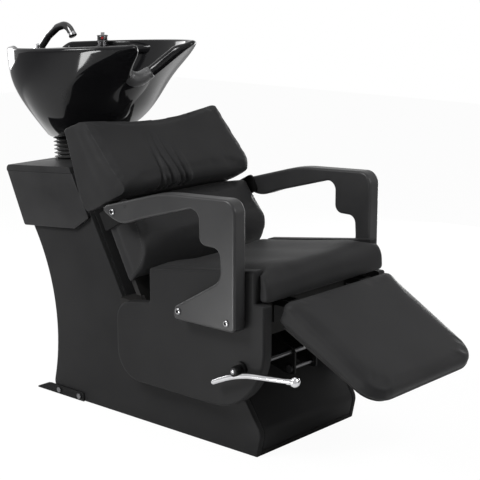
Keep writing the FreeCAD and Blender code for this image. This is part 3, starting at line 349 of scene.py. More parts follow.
def points_of(piece: Object, name: str = "co") -> Array:
    """Vertex places or normals of a mesh.

    Args:
        piece: the mesh object.
        name: "co" for places, "normal" for normals.

    Returns:
        One row of three numbers for each vertex.
    """
    values = np.zeros(len(piece.data.vertices) * 3, np.float32)
    piece.data.vertices.foreach_get(name, values)
    return values.reshape(-1, 3).astype(float)


def move_points(piece: Object, places: Array) -> None:
    """Puts a mesh's vertices at new places."""
    piece.data.vertices.foreach_set("co", places.astype(np.float32).ravel())
    piece.data.update()


def apply_all(piece: Object) -> None:
    """Applies every modifier of a piece in order."""
    alone(piece)
    for name in [modifier.name for modifier in piece.modifiers]:
        bpy.ops.object.modifier_apply(modifier=name)


def modify(piece: Object, kind: str, **values: float | str) -> None:
    """Puts a modifier on a piece and applies it.

    Args:
        piece: the mesh object.
        kind: the modifier's type.
        values: its settings.
    """
    modifier = piece.modifiers.new(kind.lower(), kind)
    for name, value in values.items():
        setattr(modifier, name, value)
    apply_all(piece)


@contextmanager
def editing(piece: Object) -> Iterator[None]:
    """Edits the whole of a mesh while the block runs."""
    alone(piece)
    bpy.ops.object.mode_set(mode="EDIT")
    bpy.ops.mesh.select_all(action="SELECT")
    yield
    bpy.ops.object.mode_set(mode="OBJECT")


def copy_of(node: str, name: str) -> Object:
    """A merged copy of a node's mesh as a new piece.

    Args:
        node: the node's name.
        name: the new piece's name.

    Returns:
        The piece.
    """
    piece = bpy.data.objects.new(name, frame["nodes"][node].data.copy())
    bpy.context.scene.collection.objects.link(piece)
    with editing(piece):
        bpy.ops.mesh.remove_doubles(threshold=0.00005)
    return piece


def swell(distance: Array, width: float) -> Array:
    """Bell-shaped share of a distance from a line.

    Args:
        distance: distances from the line.
        width: where the bell has fallen to about a third.

    Returns:
        Shares from 0 to 1.
    """
    return np.exp(-((distance / width) ** 2))


def skin(name: str, rings: Array) -> Object:
    """Stretches a grid over rows of points, merges its seams and closes its ends.

    Args:
        name: the new piece's name.
        rings: rows of points, each row a ring whose last point repeats its first.

    Returns:
        The closed piece.
    """
    rows, columns = rings.shape[:2]
    bpy.ops.object.select_all(action="DESELECT")
    bpy.ops.mesh.primitive_grid_add(x_subdivisions=columns - 1, y_subdivisions=rows - 1, size=1.0)
    piece = bpy.context.object
    piece.name = name
    grid = points_of(piece) + 0.5
    column = np.rint(grid[:, 0] * (columns - 1)).astype(int)
    row = np.rint(grid[:, 1] * (rows - 1)).astype(int)
    move_points(piece, rings[row, column])
    with editing(piece):
        bpy.ops.mesh.remove_doubles(threshold=0.00002)
        bpy.ops.mesh.fill_holes(sides=0)
        bpy.ops.mesh.normals_make_consistent(inside=False)
    return piece


def unit(vectors: Array) -> Array:
    """Vectors scaled to length 1."""
    return vectors / np.linalg.norm(vectors, axis=-1, keepdims=True)


def ease(values: Array) -> Array:
    """Smooth step of values between 0 and 1."""
    held = np.clip(values, 0.0, 1.0)
    return held * held * (3.0 - 2.0 * held)


def curve(stops: tuple[float, ...], values: tuple[float, ...], at: Array) -> Array:
    """Reads a natural cubic spline.

    Args:
        stops: where its values stand.
        values: what it passes through.
        at: where it is read.

    Returns:
        The spline's values there.
    """
    x, y = np.asarray(stops), np.asarray(values)
    step = np.diff(x)
    slope = np.diff(y) / step
    grid, right = np.eye(len(x)), np.zeros(len(x))
    for i in range(1, len(x) - 1):
        grid[i, i - 1 : i + 2] = step[i - 1], 2.0 * (step[i - 1] + step[i]), step[i]
        right[i] = 6.0 * (slope[i] - slope[i - 1])
    bend = np.linalg.solve(grid, right)
    cell = np.clip(np.searchsorted(x, at) - 1, 0, len(x) - 2)
    past = at - x[cell]
    first = slope[cell] - step[cell] * (2.0 * bend[cell] + bend[cell + 1]) / 6.0
    third = (bend[cell + 1] - bend[cell]) / (6.0 * step[cell])
    return y[cell] + past * (first + past * (bend[cell] / 2.0 + past * third))


def run_of(points: Array) -> Array:
    """Distance run along a line of points, at each of them."""
    return np.concatenate([[0.0], np.cumsum(np.linalg.norm(np.diff(points, axis=0), axis=1))])


def turned(name: str, profile: Profile, place: Array, axis: Array, columns: int = 64) -> Object:
    """Turns a profile about an axis.

    Args:
        name: the new piece's name.
        profile: radii and distances along the axis.
        place: the axis's start.
        axis: its direction.
        columns: faces round it.

    Returns:
        The closed piece.
    """
    way = unit(np.asarray(axis, float))
    side = unit(np.cross(way, np.array([0.31, 0.87, 0.38])))
    angle = np.linspace(0.0, math.tau, columns + 1)
    around = np.outer(np.cos(angle), side) + np.outer(np.sin(angle), np.cross(way, side))
    rings = [np.asarray(place) + way * along + around * radius for radius, along in profile]
    return skin(name, np.stack(rings))


def rounded(corners_at: Array, radius: float) -> Array:
    """A line through corners that are rounded off.

    Args:
        corners_at: the line's corners.
        radius: radius of its bends.

    Returns:
        Points along the line.
    """
    line = [corners_at[0]]
    for before, corner, after in zip(corners_at, corners_at[1:], corners_at[2:]):
        come, leave = unit(corner - before), unit(after - corner)
        reach = radius * math.tan(math.acos(float(np.clip(come @ leave, -1.0, 1.0))) / 2.0)
        for share in np.linspace(0.0, 1.0, 13):
            first = corner - come * reach * (1.0 - share)
            line.append(first + (corner + leave * reach * share - first) * share)
    return np.array([*line, corners_at[-1]])


def bar_rings(line: Array, girths: tuple[float, ...], ring: int, domed: bool = False) -> Array:
    """Rings round a bar that lies in a plane across X.

    Args:
        line: points along its middle.
        girths: its radii at even steps along it.
        ring: faces round it.
        domed: whether its start is rounded.

    Returns:
        Rows of points.
    """
    way = unit(np.gradient(line, axis=0))
    lift = np.cross(SIDEWAYS, way)
    run = run_of(line)
    girth = np.interp(run / run[-1], np.linspace(0.0, 1.0, len(girths)), girths)
    stations = list(zip(line, lift, girth))
    if domed:
        dome = [(share, math.sqrt(1.0 - (1.0 - share) ** 2)) for share in (0.0, 0.1, 0.3, 0.6, 1.0)]
        stations[:1] = [
            (line[0] + way[0] * girth[0] * (share - 1.0), lift[0], girth[0] * part) for share, part in dome
        ]
    angle = np.linspace(0.0, math.tau, ring + 1)
    rings = [
        point + np.outer(np.cos(angle), SIDEWAYS) * wide + np.outer(np.sin(angle), up) * wide
        for point, up, wide in stations
    ]
    return np.stack(rings)


def join(name: str, pieces: list[Object]) -> Object:
    """Joins pieces into the first one, under a name."""
    alone(pieces[0])
    for other in pieces[1:]:
        other.select_set(True)
    bpy.ops.object.join()
    pieces[0].name = name
    return pieces[0]


@dataclass(frozen=True)
class Slant:
    """Axes of a piece that lies at a slant about X: one along it and one out of its face."""

    y: float
    z: float
    along: tuple[float, float]
    out: tuple[float, float]

    def read(self, places: Array) -> tuple[Array, Array]:
        """Places along the piece and out of its face.

        Args:
            places: points in the unit's frame.

        Returns:
            Distances along and distances out.
        """
        dy = places[:, 1] - self.y
        dz = places[:, 2] - self.z
        return dy * self.along[0] + dz * self.along[1], dy * self.out[0] + dz * self.out[1]


BACK_LEAN = math.radians(28.3)
LEG_SLOPE = math.radians(31.0)
BACK = Slant(
    0.024, 0.408, (math.sin(BACK_LEAN), math.cos(BACK_LEAN)), (-math.cos(BACK_LEAN), math.sin(BACK_LEAN))
)
LEG = Slant(
    -0.470, 0.416, (-math.cos(LEG_SLOPE), -math.sin(LEG_SLOPE)), (-math.sin(LEG_SLOPE), math.cos(LEG_SLOPE))
)


# Upholstery


@dataclass
class Cushion:
    """A foam cushion under vinyl, puffed out from the solid that it stands for."""

    node: str
    body: str = "base"
    voxel: float = 0.006
    shrink: float = 0.002
    cap: float = 0.004
    rounds: int = 5
    fill: float = 0.8
    pressure: float = 4.0
    frames: int = 20

    def held(self, places: Array) -> Array:
        """Which points rest on something and stay put."""
        return np.zeros(len(places), bool)

    def shape(self, places: Array) -> Array:
        """Where the cover's points lie before it is filled."""
        return places

    def sew(self, places: Array, normals: Array) -> Array:
        """Works seams and folds into the surface.

        Args:
            places: the surface's points.
            normals: their normals.

        Returns:
            How far each point moves out.
        """
        return np.zeros(len(places))

    def puff(self, pad: Object) -> None:
        """Blows the pad up with cloth simulation, held where it rests and capped."""
        rest = points_of(pad)
        group = pad.vertex_groups.new(name="held")
        group.add([int(i) for i in np.flatnonzero(self.held(rest))], 1.0, "REPLACE")
        cloth = pad.modifiers.new("puff", "CLOTH")
        cloth.settings.vertex_group_mass = group.name
        cloth.settings.use_pressure = True
        cloth.settings.uniform_pressure_force = self.pressure
        cloth.settings.effector_weights.gravity = 0.0
        cloth.point_cache.frame_end = self.frames
        for step in range(1, self.frames + 1):
            bpy.context.scene.frame_set(step)
        apply_all(pad)
        bpy.context.scene.frame_set(1)
        moved = points_of(pad) - rest
        length = np.linalg.norm(moved, axis=1, keepdims=True)
        move_points(pad, rest + moved * np.minimum(1.0, self.cap / np.maximum(length, 1e-9)))

    def build(self, dresser: Dresser) -> Object:
        """Makes the cushion.

        Args:
            dresser: gives it its finish and body.

        Returns:
            The finished piece.
        """
        pad = copy_of(self.node, self.node + "_vinyl")
        modify(pad, "REMESH", mode="VOXEL", voxel_size=self.voxel)
        move_points(pad, self.shape(points_of(pad)))
        places = points_of(pad)
        free = ~self.held(places)
        move_points(pad, places - points_of(pad, "normal") * self.shrink * free[:, None])
        self.puff(pad)
        modify(pad, "SMOOTH", iterations=self.rounds, factor=0.5)
        modify(pad, "SUBSURF", levels=1, render_levels=1)
        places = points_of(pad)
        normals = points_of(pad, "normal")
        move_points(pad, places + normals * self.sew(places, normals)[:, None])
        dresser.deliver(pad, Finish.VINYL, self.body, self.node)
        return pad


@dataclass
class SeatCushion(Cushion):
    """Seat between the skirts, with a front roll over them."""

    node: str = "seat_cushion"
    rounds: int = 18
    board_top: float = 0.356
    rail_top: float = 0.434
    rail_front: float = -0.462
    rail_rear: float = -0.394
    least_lift: float = 0.003
    side_lift: float = 0.011

    def held(self, places: Array) -> Array:
        """Held on the seat board and the front rail."""
        y, z = places[:, 1], places[:, 2]
        return (z < self.board_top) | ((z < self.rail_top) & (y > self.rail_front) & (y < self.rail_rear))

    def sew(self, places: Array, normals: Array) -> Array:
        """Fills the seat out towards the skirts, up to their tops."""
        facing = ease((normals[:, 2] - 0.4) / 0.4) * ease((places[:, 1] + 0.47) / 0.09)
        return facing * (self.least_lift + self.side_lift * ease((np.abs(places[:, 0]) - 0.05) / 0.15))


@dataclass
class BackCushion(Cushion):
    """A cushion on the back board."""

    board_face: float = 0.022

    def held(self, places: Array) -> Array:
        """Held where it lies on the board."""
        return BACK.read(places)[1] < self.board_face


@dataclass
class UpperBack(BackCushion):
    """Upper back cushion, gathered in pleats over its lower seam."""

    node: str = "upper_back_cushion"
    voxel: float = 0.005
    rounds: int = 4
    wrap_from: tuple[float, float] = (0.21, 0.43)
    wrap: tuple[float, float] = (0.060, 0.018)
    widening: float = 0.012
    pleat_depth: float = 0.014
    pleat_width: float = 0.0056
    pleat_wave: float = 0.004
    ridge_share: float = 0.30
    ridge_offset: float = 0.013
    ridge_width: float = 0.008
    pleats: tuple[tuple[float, float, float, float], ...] = (
        (-0.118, 0.205, -0.090, 0.375),
        (-0.098, 0.205, -0.094, 0.320),
        (-0.078, 0.205, -0.070, 0.390),
        (-0.034, 0.205, -0.054, 0.395),
        (-0.012, 0.205, -0.030, 0.330),
    )

    def shape(self, places: Array) -> Array:
        """Widens the cover above the arms and wraps its sides back round the board's edges."""
        along, out = BACK.read(places)
        side = np.abs(places[:, 0])
        wrap = np.interp(along, self.wrap_from, self.wrap)
        back = wrap * ease((side - 0.215) / 0.025) * ease((0.075 - out) / 0.055)
        wide = self.widening * ease((side - 0.15) / 0.1) * ease((along - 0.22) / 0.05)
        moved = places.copy()
        moved[:, 0] += np.sign(places[:, 0]) * wide
        moved[:, 1] -= back * BACK.out[0]
        moved[:, 2] -= back * BACK.out[1]
        return moved

    def sew(self, places: Array, normals: Array) -> Array:
        """Draws the pleats in, deepest at the seam, each with a ridge beside it."""
        along = BACK.read(places)[0]
        facing = ease((normals[:, 1] * BACK.out[0] + normals[:, 2] * BACK.out[1]) / 0.6)
        lift = np.zeros(len(places))
        for index, (low_x, low, high_x, high) in enumerate(self.pleats):
            up = (along - low) / (high - low)
            line = low_x + (high_x - low_x) * up + self.pleat_wave * np.sin(up * 4.0 + index)
            fade = np.clip(1.0 - up, 0.0, 1.05) ** 1.2 * (1.0 - 0.25 * (index % 2))
            depth = self.pleat_depth * fade
            width = self.pleat_width * (0.8 + 0.7 * np.clip(up, 0.0, 1.0))
            aside = places[:, 0] - line
            lift -= depth * swell(aside, width)
            lift += self.ridge_share * depth * swell(aside - self.ridge_offset, self.ridge_width)
        return lift * facing


@dataclass
class LegPad(Cushion):
    """Pad of the leg rest, held on its board."""

    node: str = "leg_rest_pad"
    body: str = "leg_rest"
    board_face: float = -0.020
    board_rise: float = 0.074
    rear_fill: float = 0.006

    def held(self, places: Array) -> Array:
        """Held where it lies on the board."""
        along, out = LEG.read(places)
        return out < self.board_face + along * self.board_rise

    def sew(self, places: Array, normals: Array) -> Array:
        """Fills the rear edge out towards the seat."""
        along, out = LEG.read(places)
        return self.rear_fill * ease((0.055 - along) / 0.05) * ease(out / 0.02)


@dataclass(frozen=True)
class Stitching:
    """Row of stitches down each side of the lumbar cushion."""

    line: Profile = (
        (0.005, 0.578), (-0.012, 0.550), (-0.028, 0.520), (-0.031, 0.494), (-0.023, 0.465),
        (0.012, 0.426),
    )
    pitch: float = 0.0085
    radius: float = 0.0009
    sides: int = 8
    beyond: float = 0.32

    def spots(self) -> Array:
        """Places in Y and Z at an even pitch along the row."""
        stops = np.array(self.line)
        share = np.linspace(0.0, 1.0, len(stops))
        dense = np.linspace(0.0, 1.0, 400)
        path = np.stack([curve(tuple(share), tuple(stops[:, axis]), dense) for axis in (0, 1)], -1)
        run = run_of(path)
        at = np.arange(0.0, run[-1], self.pitch / 2.0)
        return np.stack([np.interp(at, run, path[:, axis]) for axis in (0, 1)], -1)

    def stitch(self, start: Vector, end: Vector) -> Object:
        """One stitch between two places."""
        way = end - start
        profile = tuple(
            (self.radius * math.sin(turn), way.length * (1.0 - math.cos(turn)) / 2.0)
            for turn in np.linspace(0.0, math.pi, self.sides)
        )
        return turned("stitch", profile, np.array(start), np.array(way), self.sides)

    def build(self, pad: Object, dresser: Dresser) -> None:
        """Lays the rows on the cushion's sides.

        Args:
            pad: the lumbar cushion.
            dresser: gives them their finish and body.
        """
        stitches = []
        for side in SIDES:
            inward = Vector((-side, 0.0, 0.0))
            hits = [pad.ray_cast(Vector((side * self.beyond, y, z)), inward) for y, z in self.spots()]
            rows = [place + normal * self.radius * 0.4 for found, place, normal, _ in hits if found]
            stitches += [self.stitch(start, end) for start, end in zip(rows[::2], rows[1::2])]
        row = join("lumbar_stitching", stitches)
        dresser.deliver(row, Finish.THREAD, "base")


@dataclass(frozen=True)
class EasedBoard:
    """Board whose sharp edges are eased, as covered or laminated boards are."""

    node: str
    finish: Finish
    width: float = 0.0025

    def build(self, dresser: Dresser) -> None:
        """Makes the board.

        Args:
            dresser: gives it its finish and body.
        """
        board = copy_of(self.node, self.node + "_eased")
        with editing(board):
            bpy.ops.mesh.dissolve_limited(angle_limit=math.radians(0.5))
            bpy.ops.mesh.normals_make_consistent(inside=False)
        sharp = math.radians(40.0)
        modify(board, "BEVEL", width=self.width, segments=3, limit_method="ANGLE", angle_limit=sharp)
        dresser.deliver(board, self.finish, "base", self.node, edge=30.0)


# Basin


@dataclass(frozen=True)
class Tilt:
    """Frame of the basin, tilted about its pivot."""

    y: float = 0.482
    z: float = 0.704
    angle: float = math.radians(2.4)

    def place(self, points: Array) -> Array:
        """Points of the basin's own frame in the unit's frame."""
        y, z = points[..., 1], points[..., 2]
        sine, cosine = math.sin(self.angle), math.cos(self.angle)
        return np.stack([points[..., 0], self.y + y * cosine + z * sine, self.z - y * sine + z * cosine], -1)


TILT = Tilt()


@dataclass(frozen=True)
class Basin:
    """Glazed bowl behind a leaning front, with a rolled lip round rim and notch and a deck at the rear."""

    rim_z: float = 0.297
    rim_y: float = -0.112
    half_length: float = 0.300
    half_width: float = 0.250
    foot_z: float = 0.036
    foot_radius: float = 0.094
    wall: float = 0.014
    floor: float = 0.016
    inner_foot_radius: float = 0.066
    waste_radius: float = 0.025
    front_y: float = -0.394
    front_half_length: float = 0.265
    front_half_width: float = 0.308
    front_lean: float = 1.488
    crease: float = 0.0016
    notch_depth: float = 0.103
    notch_radius: float = 0.080
    notch_tangent: float = 0.0692
    notch_slope: float = 1.689
    notch_ease: float = 0.014
    columns: int = 360
    outer_rows: int = 40
    lip_rows: int = 12
    inner_rows: int = 30
    lip: float = 0.015
    notch_lip: float = 0.032
    deck_top: float = 0.289
    deck_thickness: float = 0.024
    deck_ends: tuple[float, float] = (math.radians(88.0), math.radians(272.0))
    deck_up: float = 0.965
    deck_overlap: float = 0.006
    opening_half_width: float = 0.210
    opening_half_length: float = 0.196
    up_shares: tuple[float, ...] = (0.0, 0.10, 0.30, 0.62, 1.0)
    long_shares: tuple[float, ...] = (0.0, 0.21, 0.44, 0.76, 1.0)
    wide_shares: tuple[float, ...] = (0.0, 0.29, 0.63, 0.88, 1.0)
    shift_shares: tuple[float, ...] = (0.03, 0.42, 0.65, 0.73, 1.0)
    front_up_shares: tuple[float, ...] = (0.0, 0.30, 0.62, 1.0)
    front_shares: tuple[float, ...] = (0.27, 0.485, 0.67, 1.0)

    def bowl_reach(self, angle: Array, up: Array, inset: float) -> Array:
        """Distance from a section's centre to the full bowl's wall, at an angle from the front."""
        foot = self.inner_foot_radius if inset else self.foot_radius
        long = foot + (self.half_length - inset - foot) * curve(self.up_shares, self.long_shares, up)
        wide = foot + (self.half_width - inset - foot) * curve(self.up_shares, self.wide_shares, up)
        return 1.0 / np.hypot(np.sin(angle) / wide, np.cos(angle) / long)

    def front_reach(self, angle: Array, up: Array, centre: Array, inset: float) -> Array:
        """Distance from a section's centre to the leaning front, at an angle from the front."""
        front = self.front_y * curve(self.front_up_shares, self.front_shares, up)
        middle = front + self.front_half_length + inset * self.front_lean
        across = np.sin(angle) / self.front_half_width
        ahead = -np.cos(angle) / self.front_half_length
        offset = (centre - middle) / self.front_half_length
        square = across**2 + ahead**2
        under = np.maximum((ahead * offset) ** 2 - square * (offset**2 - 1.0), 0.0)
        reach = (-ahead * offset + np.sqrt(under)) / square
        return np.where(np.cos(angle) > -0.15, reach, 1.0)

    def wall_point(self, angle: Array, up: Array, inset: float = 0.0) -> Array:
        """Points on the bowl's outer wall, or on its inner wall.

        Args:
            angle: angle round the bowl, from its front.
            up: share of the height.
            inset: 0 for the outer wall, the wall's thickness for the inner one.

        Returns:
            Points in the basin's frame.
        """
        low = self.foot_z + (self.floor if inset else 0.0)
        centre = self.rim_y * curve(self.up_shares, self.shift_shares, up)
        full = self.bowl_reach(angle, up, inset)
        front = self.front_reach(angle, up, centre, inset)
        gap = np.clip((full - front) / self.crease, -40.0, 40.0)
        reach = full - self.crease * np.logaddexp(0.0, gap)
        z = low + (self.rim_z - low) * up + np.zeros_like(reach)
        return np.stack([reach * np.sin(angle), centre - reach * np.cos(angle), z], -1)

    def notch_height(self, x: Array) -> Array:
        """Height of the notch's outline over a place across it, with the rim's corners eased."""
        total = np.zeros_like(x)
        shifts = np.linspace(-self.notch_ease, self.notch_ease, 15)
        for shift in shifts:
            side = np.abs(x + shift)
            within = np.minimum(side, self.notch_tangent)
            arc = self.notch_radius - np.sqrt(self.notch_radius**2 - within**2)
            flank = np.maximum(side - self.notch_tangent, 0.0) * self.notch_slope
            total += np.minimum(arc + flank, self.notch_depth)
        return self.rim_z - self.notch_depth + total / len(shifts)

    def rim_up(self, angle: Array) -> Array:
        """Share of the height that the rim reaches at an angle."""
        up = np.linspace(0.3, 1.0, 500)
        wall = self.wall_point(angle[:, None], up[None, :])
        over = wall[..., 2] - self.notch_height(wall[..., 0])
        over[:, -1] = np.maximum(over[:, -1], 0.0)
        first = np.maximum(np.argmax(over >= 0.0, axis=1), 1)
        rows = np.arange(len(angle))
        below, above = over[rows, first - 1], over[rows, first]
        share = below / np.minimum(below - above, -1e-9)
        return up[first - 1] + (up[first] - up[first - 1]) * np.clip(share, 0.0, 1.0)

    def rim_point(self, angle: Array) -> Array:
        """Points on the rim at angles round the bowl."""
        return self.wall_point(angle, self.rim_up(angle))

    def rim_angles(self) -> Array:
        """Angles that stand evenly along the rim, from rear to rear."""
        dense = np.linspace(-math.pi, math.pi, 4001)
        run = run_of(self.rim_point(dense))
        return np.interp(np.linspace(0.0, run[-1], self.columns + 1), run, dense)

    def lip_frame(self, angle: Array) -> tuple[Array, Array, Array, Array]:
        """Rim points with the directions out of the wall and up along it, and the lip's thickness.

        Args:
            angle: angles round the bowl.

        Returns:
            Rim points, outward directions, upward directions, thicknesses.
        """
        step = 0.004
        up = self.rim_up(angle)
        rim = self.wall_point(angle, up)
        along = unit(self.rim_point(angle + step) - self.rim_point(angle - step))
        round_way = self.wall_point(angle + step, up) - self.wall_point(angle - step, up)
        up_way = rim - self.wall_point(angle, up - step)
        out = unit(np.cross(round_way, up_way))
        rise = unit(np.cross(out, along))
        thick = self.lip + (self.notch_lip - self.lip) * ease((1.0 - up) / 0.12)
        return rim, out, rise, thick

    def shell_rings(self) -> Array:
        """Rows of points from under the foot, up the wall, over the lip, down inside and across the floor."""
        angle = self.rim_angles()
        rim, out, rise, thick = self.lip_frame(angle)
        half = (thick / 2.0)[:, None]
        around = np.stack([np.sin(angle), -np.cos(angle), np.zeros_like(angle)], -1)
        low = np.array([0.0, 0.0, self.foot_z])
        high = np.array([0.0, 0.0, self.foot_z + self.floor])
        foot = self.wall_point(angle, np.zeros_like(angle))
        rows = [low + around * self.waste_radius, low + (foot - low) * 0.8, low + (foot - low) * 0.97]
        top_up = (rim[:, 2] - self.foot_z) / (self.rim_z - self.foot_z)
        mend = rim - self.wall_point(angle, top_up)
        for share in np.linspace(0.02, 1.0, self.outer_rows):
            rows.append(self.wall_point(angle, top_up * share) + mend * share**10)
        for turn in np.linspace(0.0, math.pi, self.lip_rows)[1:-1]:
            rows.append(rim - out * half + out * half * math.cos(turn) + rise * half * math.sin(turn))
        inner = rim - out * half * 2.0
        inner_low = self.foot_z + self.floor
        inner_up = (inner[:, 2] - inner_low) / (self.rim_z - inner_low)
        inner_mend = inner - self.wall_point(angle, inner_up, self.wall)
        for share in np.linspace(1.0, 0.0, self.inner_rows):
            rows.append(self.wall_point(angle, inner_up * share, self.wall) + inner_mend * share**5)
        floor_edge = rows[-1]
        for share in (0.6, 0.2, 0.0):
            ring = high + around * self.waste_radius
            rows.append(ring + (floor_edge - ring) * share)
        rows.append(rows[0])
        return np.stack(rows)

    def deck_rings(self) -> Array:
        """Closed rows of points round the deck's section, from one end of the deck to the other."""
        angle = np.linspace(*self.deck_ends, 121)
        outer = self.wall_point(angle, np.full_like(angle, self.deck_up), self.wall)[:, :2]
        outer = outer + unit(outer - np.array([0.0, self.rim_y])) * self.deck_overlap
        wide, long = self.opening_half_width, self.opening_half_length
        radius = 1.0 / np.hypot(np.sin(angle) / wide, np.cos(angle) / long)
        inner = np.stack([radius * np.sin(angle), self.rim_y - radius * np.cos(angle)], -1)
        edge = self.deck_thickness * 0.4
        taper = (ease((angle - angle[0]) / 0.5) * ease((angle[-1] - angle) / 0.5) * 0.98 + 0.02)[:, None]
        section = [(0.0, 0.0), (0.0, 1.0)]
        section += [(1.0, 0.5 + 0.5 * math.cos(turn)) for turn in np.linspace(0.0, math.pi, 9)]
        rings = []
        for across, rise in section + section[:1]:
            bulge = edge * math.sin(math.acos(2.0 * rise - 1.0)) if across else 0.0
            reach = across * taper
            flat = outer + (inner - outer) * reach - unit(inner - outer) * (edge - bulge) * reach
            z = np.full(len(angle), self.deck_top - self.deck_thickness * (1.0 - rise))
            rings.append(np.concatenate([flat, z[:, None]], axis=1))
        return np.stack(rings, axis=1)

    def build(self, dresser: Dresser) -> None:
        """Makes the bowl with its deck.

        Args:
            dresser: gives it its finish and body.
        """
        bowl = skin("basin_bowl", TILT.place(self.shell_rings()))
        deck = skin("basin_deck", TILT.place(self.deck_rings()))
        join(bowl.name, [bowl, deck])
        dresser.deliver(bowl, Finish.GLAZE, "tilting_basin", "basin", edge=50.0)


@dataclass(frozen=True)
class NeckRest:
    """Rubber saddle over the bottom of the notch."""

    basin: Basin
    rise: float = 0.018
    side: float = 0.003
    top: float = 0.008
    columns: int = 90
    ring: int = 40

    def build(self, dresser: Dresser) -> None:
        """Makes the saddle.

        Args:
            dresser: gives it its finish and body.
        """
        around = np.radians(np.linspace(0.0, 40.0, 400))
        climb = self.basin.rim_up(around) - self.basin.rim_up(around[:1])
        height = climb * (self.basin.rim_z - self.basin.foot_z)
        reach = around[np.argmax(height > self.rise)]
        angle = np.linspace(-reach, reach, self.columns)
        rim, out, rise, thick = self.basin.lip_frame(angle)
        middle = rim - out * (thick / 2.0)[:, None]
        share = np.linspace(-1.0, 1.0, self.columns)
        taper = np.sqrt(np.maximum(1.0 - np.abs(share) ** 6, 0.0))[:, None]
        wide = (thick / 2.0)[:, None] + self.side * taper
        high = (thick / 2.0)[:, None] + self.top * taper
        rings = []
        for turn in np.linspace(0.0, math.tau, self.ring + 1):
            lift = math.sin(turn) * (1.0 if math.sin(turn) > 0.0 else 1.1)
            rings.append(middle + out * wide * math.cos(turn) + rise * high * lift)
        saddle = skin("neck_saddle", TILT.place(np.stack(rings, axis=1)))
        dresser.deliver(saddle, Finish.NECK_RUBBER, "tilting_basin", "neck_rest", edge=60.0)


@dataclass(frozen=True)
class Bellows:
    """Ribbed rubber sleeve between the shelf and the basin."""

    low: float = -0.0317
    high: float = 0.0357
    crest: float = 0.080
    root: float = 0.070
    bore: float = 0.064
    lean: float = math.radians(4.4)
    ribs: int = 6
    columns: int = 96
    rows_per_rib: int = 10

    def build(self, dresser: Dresser) -> None:
        """Makes the sleeve at a fixed lean, on no body.

        Args:
            dresser: gives it its finish.
        """
        angle = np.linspace(0.0, math.tau, self.columns + 1)
        around = np.stack([np.cos(angle), np.sin(angle)], -1)
        share = np.linspace(0.0, 1.0, self.ribs * self.rows_per_rib + 1)
        wave = np.abs(np.cos(share * math.pi * self.ribs)) ** 0.7
        radius = self.crest - (self.crest - self.root) * wave
        z = self.low + (self.high - self.low) * share
        profile = [(self.bore, z[0]), *zip(radius, z), (self.bore, z[-1]), (self.bore, z[0])]
        column = np.ones((len(angle), 1))
        rings = [np.concatenate([around * wide, column * level], axis=1) for wide, level in profile]
        sleeve = skin("bellows_sleeve", Tilt(angle=self.lean).place(np.stack(rings)))
        dresser.deliver(sleeve, Finish.BELLOWS_RUBBER, None, "bellows", edge=60.0)
        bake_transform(sleeve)


# Fittings


@dataclass(frozen=True)
class Handset:
    """Hand spray that leans out of its socket, with a hooked tip and a chrome nozzle."""

    start: Place = (-0.032, 0.144, 0.270)
    runs: Profile = (
        (0.086, 43.0), (0.050, 31.0), (0.034, 13.0), (0.022, -28.0), (0.018, -56.0),
    )
    bend: float = 0.033
    ring: int = 48
    girths: tuple[float, ...] = (0.0100, 0.0100, 0.0105, 0.0110, 0.0114, 0.0112)
    nozzle: Profile = (
        (0.0, -0.004), (0.0108, -0.004), (0.0116, 0.0), (0.0124, 0.0050), (0.0124, 0.0080),
        (0.0119, 0.0090), (0.0106, 0.0086), (0.0101, 0.0068), (0.0, 0.0060),
    )

    def build(self, dresser: Dresser) -> None:
        """Makes the grip and its nozzle.

        Args:
            dresser: gives them their finishes and body.
        """
        corners_at = [np.array(self.start)]
        for length, rise in self.runs:
            turn = math.radians(rise)
            corners_at.append(corners_at[-1] + length * np.array([0.0, -math.cos(turn), math.sin(turn)]))
        line = rounded(np.array(corners_at), self.bend)
        grip = skin("handset_grip", TILT.place(bar_rings(line, self.girths, self.ring)))
        dresser.deliver(grip, Finish.BLACK_GLOSS, "hand_spray", "handset", edge=60.0)
        end = TILT.place(line[-1])
        nozzle = turned("handset_nozzle", self.nozzle, end, end - TILT.place(line[-2]))
        # The nozzle is chrome with painted dark reflections.
        dresser.deliver(nozzle, Finish.CHROME_PAINTED_DARK, "hand_spray", edge=40.0)


@dataclass(frozen=True)
class Lever:
    """Bent chrome bar of the release lever on a black hub with a chrome centre."""

    x: float = -0.280
    line: Profile = ((-0.316, 0.207), (-0.402, 0.246), (-0.560, 0.262))
    bend: float = 0.350
    girths: tuple[float, ...] = (0.0074, 0.0080, 0.0082, 0.0078, 0.0072)
    ring: int = 40
    hub_y: float = -0.391
    hub_z: float = 0.252
    hub_rise: float = 0.012
    hub: Profile = (
        (0.0, 0.024), (0.0126, 0.024), (0.0130, 0.0235), (0.0130, 0.0020), (0.0124, 0.0006),
        (0.0112, 0.0), (0.0078, 0.0), (0.0, 0.0),
    )
    centre: Profile = (
        (0.0, 0.002), (0.0066, 0.002), (0.0066, -0.0008), (0.0058, -0.0020), (0.0036, -0.0028),
        (0.0, -0.0030),
    )

    def build(self, dresser: Dresser) -> None:
        """Makes the bar, its hub and the hub's centre.

        Args:
            dresser: gives them their finishes and body.
        """
        line = rounded(np.array([(self.x, y, z) for y, z in self.line]), self.bend)
        bar = skin("lever_bar", bar_rings(line, self.girths, self.ring, domed=True))
        dresser.deliver(bar, Finish.CHROME, "lever", "release_lever", edge=60.0)
        place = np.array([self.x - self.hub_rise, self.hub_y, self.hub_z])
        for name, profile, finish in (
            ("lever_hub", self.hub, Finish.BLACK_STEEL_AND_PAINTED_SHADE),
            # The hub's centre is chrome with painted dark reflections.
            ("lever_hub_centre", self.centre, Finish.CHROME_PAINTED_DARK),
        ):
            dresser.deliver(turned(name, profile, place, SIDEWAYS), finish, "lever", edge=40.0)


